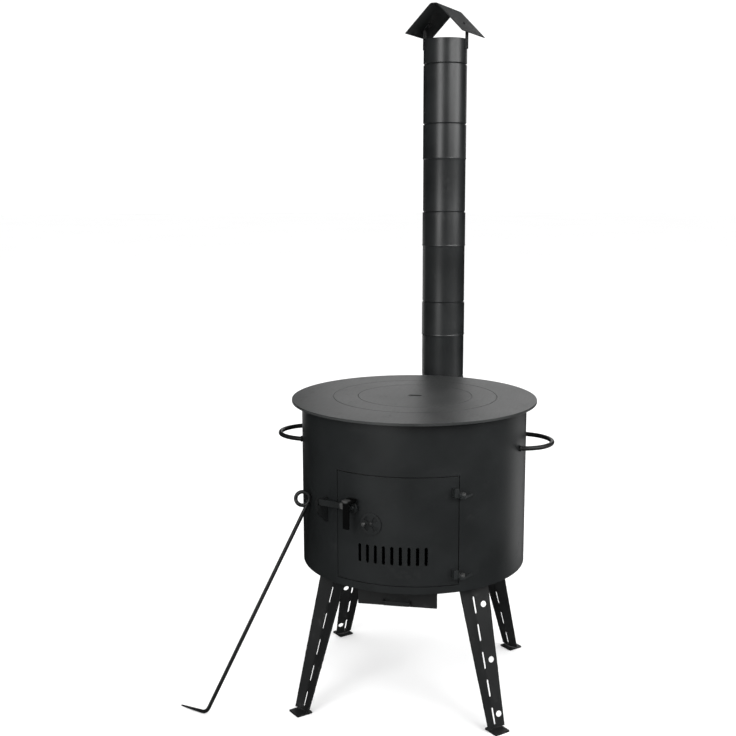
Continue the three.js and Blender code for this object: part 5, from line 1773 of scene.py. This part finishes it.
@dataclass
class Poker(Assembly):
    """The poker: a rod with a flattened toe, leaning on the drum and turned into an eye at its top."""

    rod: float = 3.75 * MM
    heel: tuple[float, float, float] = (-371.9 * MM, -236.95 * MM, 4.05 * MM)
    touch: tuple[float, float, float] = (-185.96 * MM, -136.6 * MM, 414 * MM)
    eye_radius: float = 13.2 * MM
    eye_degrees: float = 191.0
    toe_degrees: float = 158.0
    toe_length: float = 66 * MM
    toe_drop: float = 2.3 * MM
    toe_thin_share: float = 0.35
    toe_point_share: float = 0.25
    toe_taper_share: float = 0.3
    toe_rings: int = 14
    bend: float = 12 * MM
    bend_rings: int = 13
    eye_rings: int = 56
    edge: float = 0.5 * MM

    def build(self) -> list[Piece]:
        """The rod and its eye.

        The rod's path runs from the toe's point round the heel to where it touches the drum. Over the
        toe its height grows evenly from a share of the rod's, and its width quickly from a point. The
        eye is c + r (cos a across + sin a shaft), with c set off square to the shaft.

        Returns:
            The poker as one piece.
        """
        heel, touch = np.array(self.heel), np.array(self.touch)
        turn, eye_turn = math.radians(self.toe_degrees), math.radians(self.eye_degrees)
        toeward = np.array([math.cos(turn), math.sin(turn), 0.0])
        tip = heel + self.toe_length * toeward - self.toe_drop * UP
        shaft = (touch - heel) / np.linalg.norm(touch - heel)
        bent = softened([tip, heel, touch], self.bend, self.bend_rings)
        lead = tip + np.linspace(0, 1, self.toe_rings)[:-1, None] * (bent[1] - tip)
        path = np.vstack([lead, bent[1:]])
        share = np.clip(np.linalg.norm(path - tip, axis=1) / self.toe_length, 0, 1)
        share[path[:, 2] > heel[2] + self.rod] = 1
        height = self.toe_thin_share + (1 - self.toe_thin_share) * share
        width = np.interp(share, [0, self.toe_taper_share, 1], [self.toe_point_share, 1, 1])
        sizes = np.stack([height, width], axis=1)
        section = circle(self.rod, ROUND)
        skin = carried(path, section, np.cross(toeward, shaft), sizes=sizes)
        across = np.array([math.cos(eye_turn), math.sin(eye_turn), 0.0])
        across -= across.dot(shaft) * shaft
        across /= np.linalg.norm(across)
        around = np.arange(self.eye_rings)[:, None] * TURN / self.eye_rings
        ring = touch + self.eye_radius * (across + np.cos(around) * across + np.sin(around) * shaft)
        skin = skin + carried(ring, section, np.cross(across, shaft), closed=True)
        return [Piece("fire_iron", skin, "fire_poker", ROD_STEEL, ("poker",), Slot.POKER, self.edge)]


KEPT_NODES = {
    "body_floor": RAW_IRON, "fire_grate": RAW_IRON, "ash_drawer": LEG_PAINT, "drawer_runner_left": BODY_PAINT,
    "drawer_runner_right": BODY_PAINT, "latch_spacer": LEG_PAINT, "latch_nut": ZINC,
}


@dataclass(frozen=True)
class Softbox:
    """A softbox: its angle round the drum, its distance, height, width and height, power and aim."""

    name: str
    degrees: float
    reach: float
    height: float
    size: tuple[float, float]
    power: float
    aim: float = 0.65


@dataclass
class Studio:
    """The floor, the lights and the camera. Places are metres from the drum's axis."""

    eye: tuple[float, float, float] = (0.3302, -2.1405, 1.0404)
    pitch: float = 9.94
    heading: float = 11.21
    roll: float = -0.16
    lens: float = 53.67
    sensor: float = 36.0
    floor: float = 30.0
    floor_middle: float = 3.75
    floor_steps: int = 64
    floor_tones: tuple[float, float] = (0.91, 0.94)
    floor_patch: float = 1.5
    floor_roughness: float = 0.9
    floor_specular: float = 0.1
    surround: float = 1.13
    boxes: tuple[Softbox, ...] = (
        Softbox("key", -21, 2.5, 1.5, (1.0, 1.9), 33),
        Softbox("side", 50, 2.6, 2.0, (1.3, 1.2), 31),
        Softbox("flank", 84, 2.4, 1.45, (1.3, 0.9), 19, 1.1),
        Softbox("rim", 124, 0.72, 0.25, (0.4, 0.4), 0.52, 0.25),
        Softbox("left", -142, 2.4, 0.4, (0.6, 0.8), 1.5, 0.4),
        Softbox("back", 177, 3.6, 1.85, (2.8, 1.6), 18),
    )

    def camera(self) -> None:
        """The camera: tilted down by the pitch, turned to the heading, and rolled about its own axis."""
        made = bpy.data.objects.new("camera", bpy.data.cameras.new("camera"))
        bpy.context.scene.collection.objects.link(made)
        made.data.lens, made.data.sensor_width = self.lens, self.sensor
        turned = Matrix.Rotation(math.radians(self.heading), 4, "Z")
        tilted = Matrix.Rotation(math.radians(90 - self.pitch), 4, "X")
        rolled = Matrix.Rotation(math.radians(self.roll), 4, "Z")
        place = Matrix.Translation(Vector(self.eye) + Vector(AXIS))
        made.matrix_world = place @ turned @ tilted @ rolled
        bpy.context.scene.camera = made

    def ground(self) -> None:
        """A plain pale floor, faintly uneven in tone."""
        skin = lathe([(0, 0), (self.floor_middle, 0), (self.floor, 0)], self.floor_steps)
        mesh = bpy.data.meshes.new("floor")
        mesh.from_pydata(skin.points.tolist(), [], skin.faces[0].tolist())
        made = bpy.data.objects.new("floor", mesh)
        bpy.context.scene.collection.objects.link(made)
        look = Look("pale_floor")
        dark, light = ((tone, tone, tone, 1) for tone in self.floor_tones)
        tone = look.mixed(look.noise(self.floor_patch, detail=2), dark, light)
        look.feed(look.shader.inputs["Base Color"], tone)
        look.feed(look.shader.inputs["Roughness"], self.floor_roughness)
        look.feed(look.shader.inputs["Specular IOR Level"], self.floor_specular)
        mesh.materials.append(look.material)
        made.visible_glossy = False

    def softbox(self, box: Softbox) -> None:
        """Hangs a softbox, aimed at a point on the drum's axis.

        Args:
            box: the softbox, placed at (reach sin a, -reach cos a, height) from the drum's axis.
        """
        light = bpy.data.lights.new(box.name, "AREA")
        light.shape, light.energy = "RECTANGLE", box.power
        light.size, light.size_y = box.size
        turn = math.radians(box.degrees)
        place = Vector(AXIS) + Vector((box.reach * math.sin(turn), -box.reach * math.cos(turn), box.height))
        made = bpy.data.objects.new(box.name, light)
        bpy.context.scene.collection.objects.link(made)
        aim = Vector(AXIS) + Vector((0, 0, box.aim)) - place
        made.matrix_world = Matrix.Translation(place) @ aim.to_track_quat("-Z", "Y").to_matrix().to_4x4()
        made.visible_camera = False

    def world(self) -> None:
        """An even white surround that lights the stove but isn't mirrored in its paint."""
        made = bpy.data.worlds.new("studio")
        bpy.context.scene.world = made
        made.use_nodes = True
        background = made.node_tree.nodes["Background"]
        background.inputs["Color"].default_value = (1, 1, 1, 1)
        background.inputs["Strength"].default_value = self.surround
        made.cycles_visibility.glossy = False
        bpy.context.scene.view_settings.view_transform = "Standard"

    def build(self) -> None:
        """Sets the stage."""
        self.camera()
        self.ground()
        self.world()
        for box in self.boxes:
            self.softbox(box)


def main() -> None:
    """Sets the stage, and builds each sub-assembly in order and dresses it."""
    logging.basicConfig(level=logging.INFO, format="%(name)s %(message)s")
    Studio().build()
    materials = {finish.name: finish.material() for finish in FINISHES}
    drum = Drum()
    for assembly in (drum, Door(drum), Legs(), DrawerFront(), Hob(), Flue(drum), Poker()):
        assembly.dress(materials)
    for name, finish in KEPT_NODES.items():
        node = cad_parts[name]
        node.data.materials.clear()
        node.data.materials.append(materials[finish.name])
        LOG.info("%s: kept from the frame, in %s", name, finish.name)


if __name__ == "__main__":
    main()
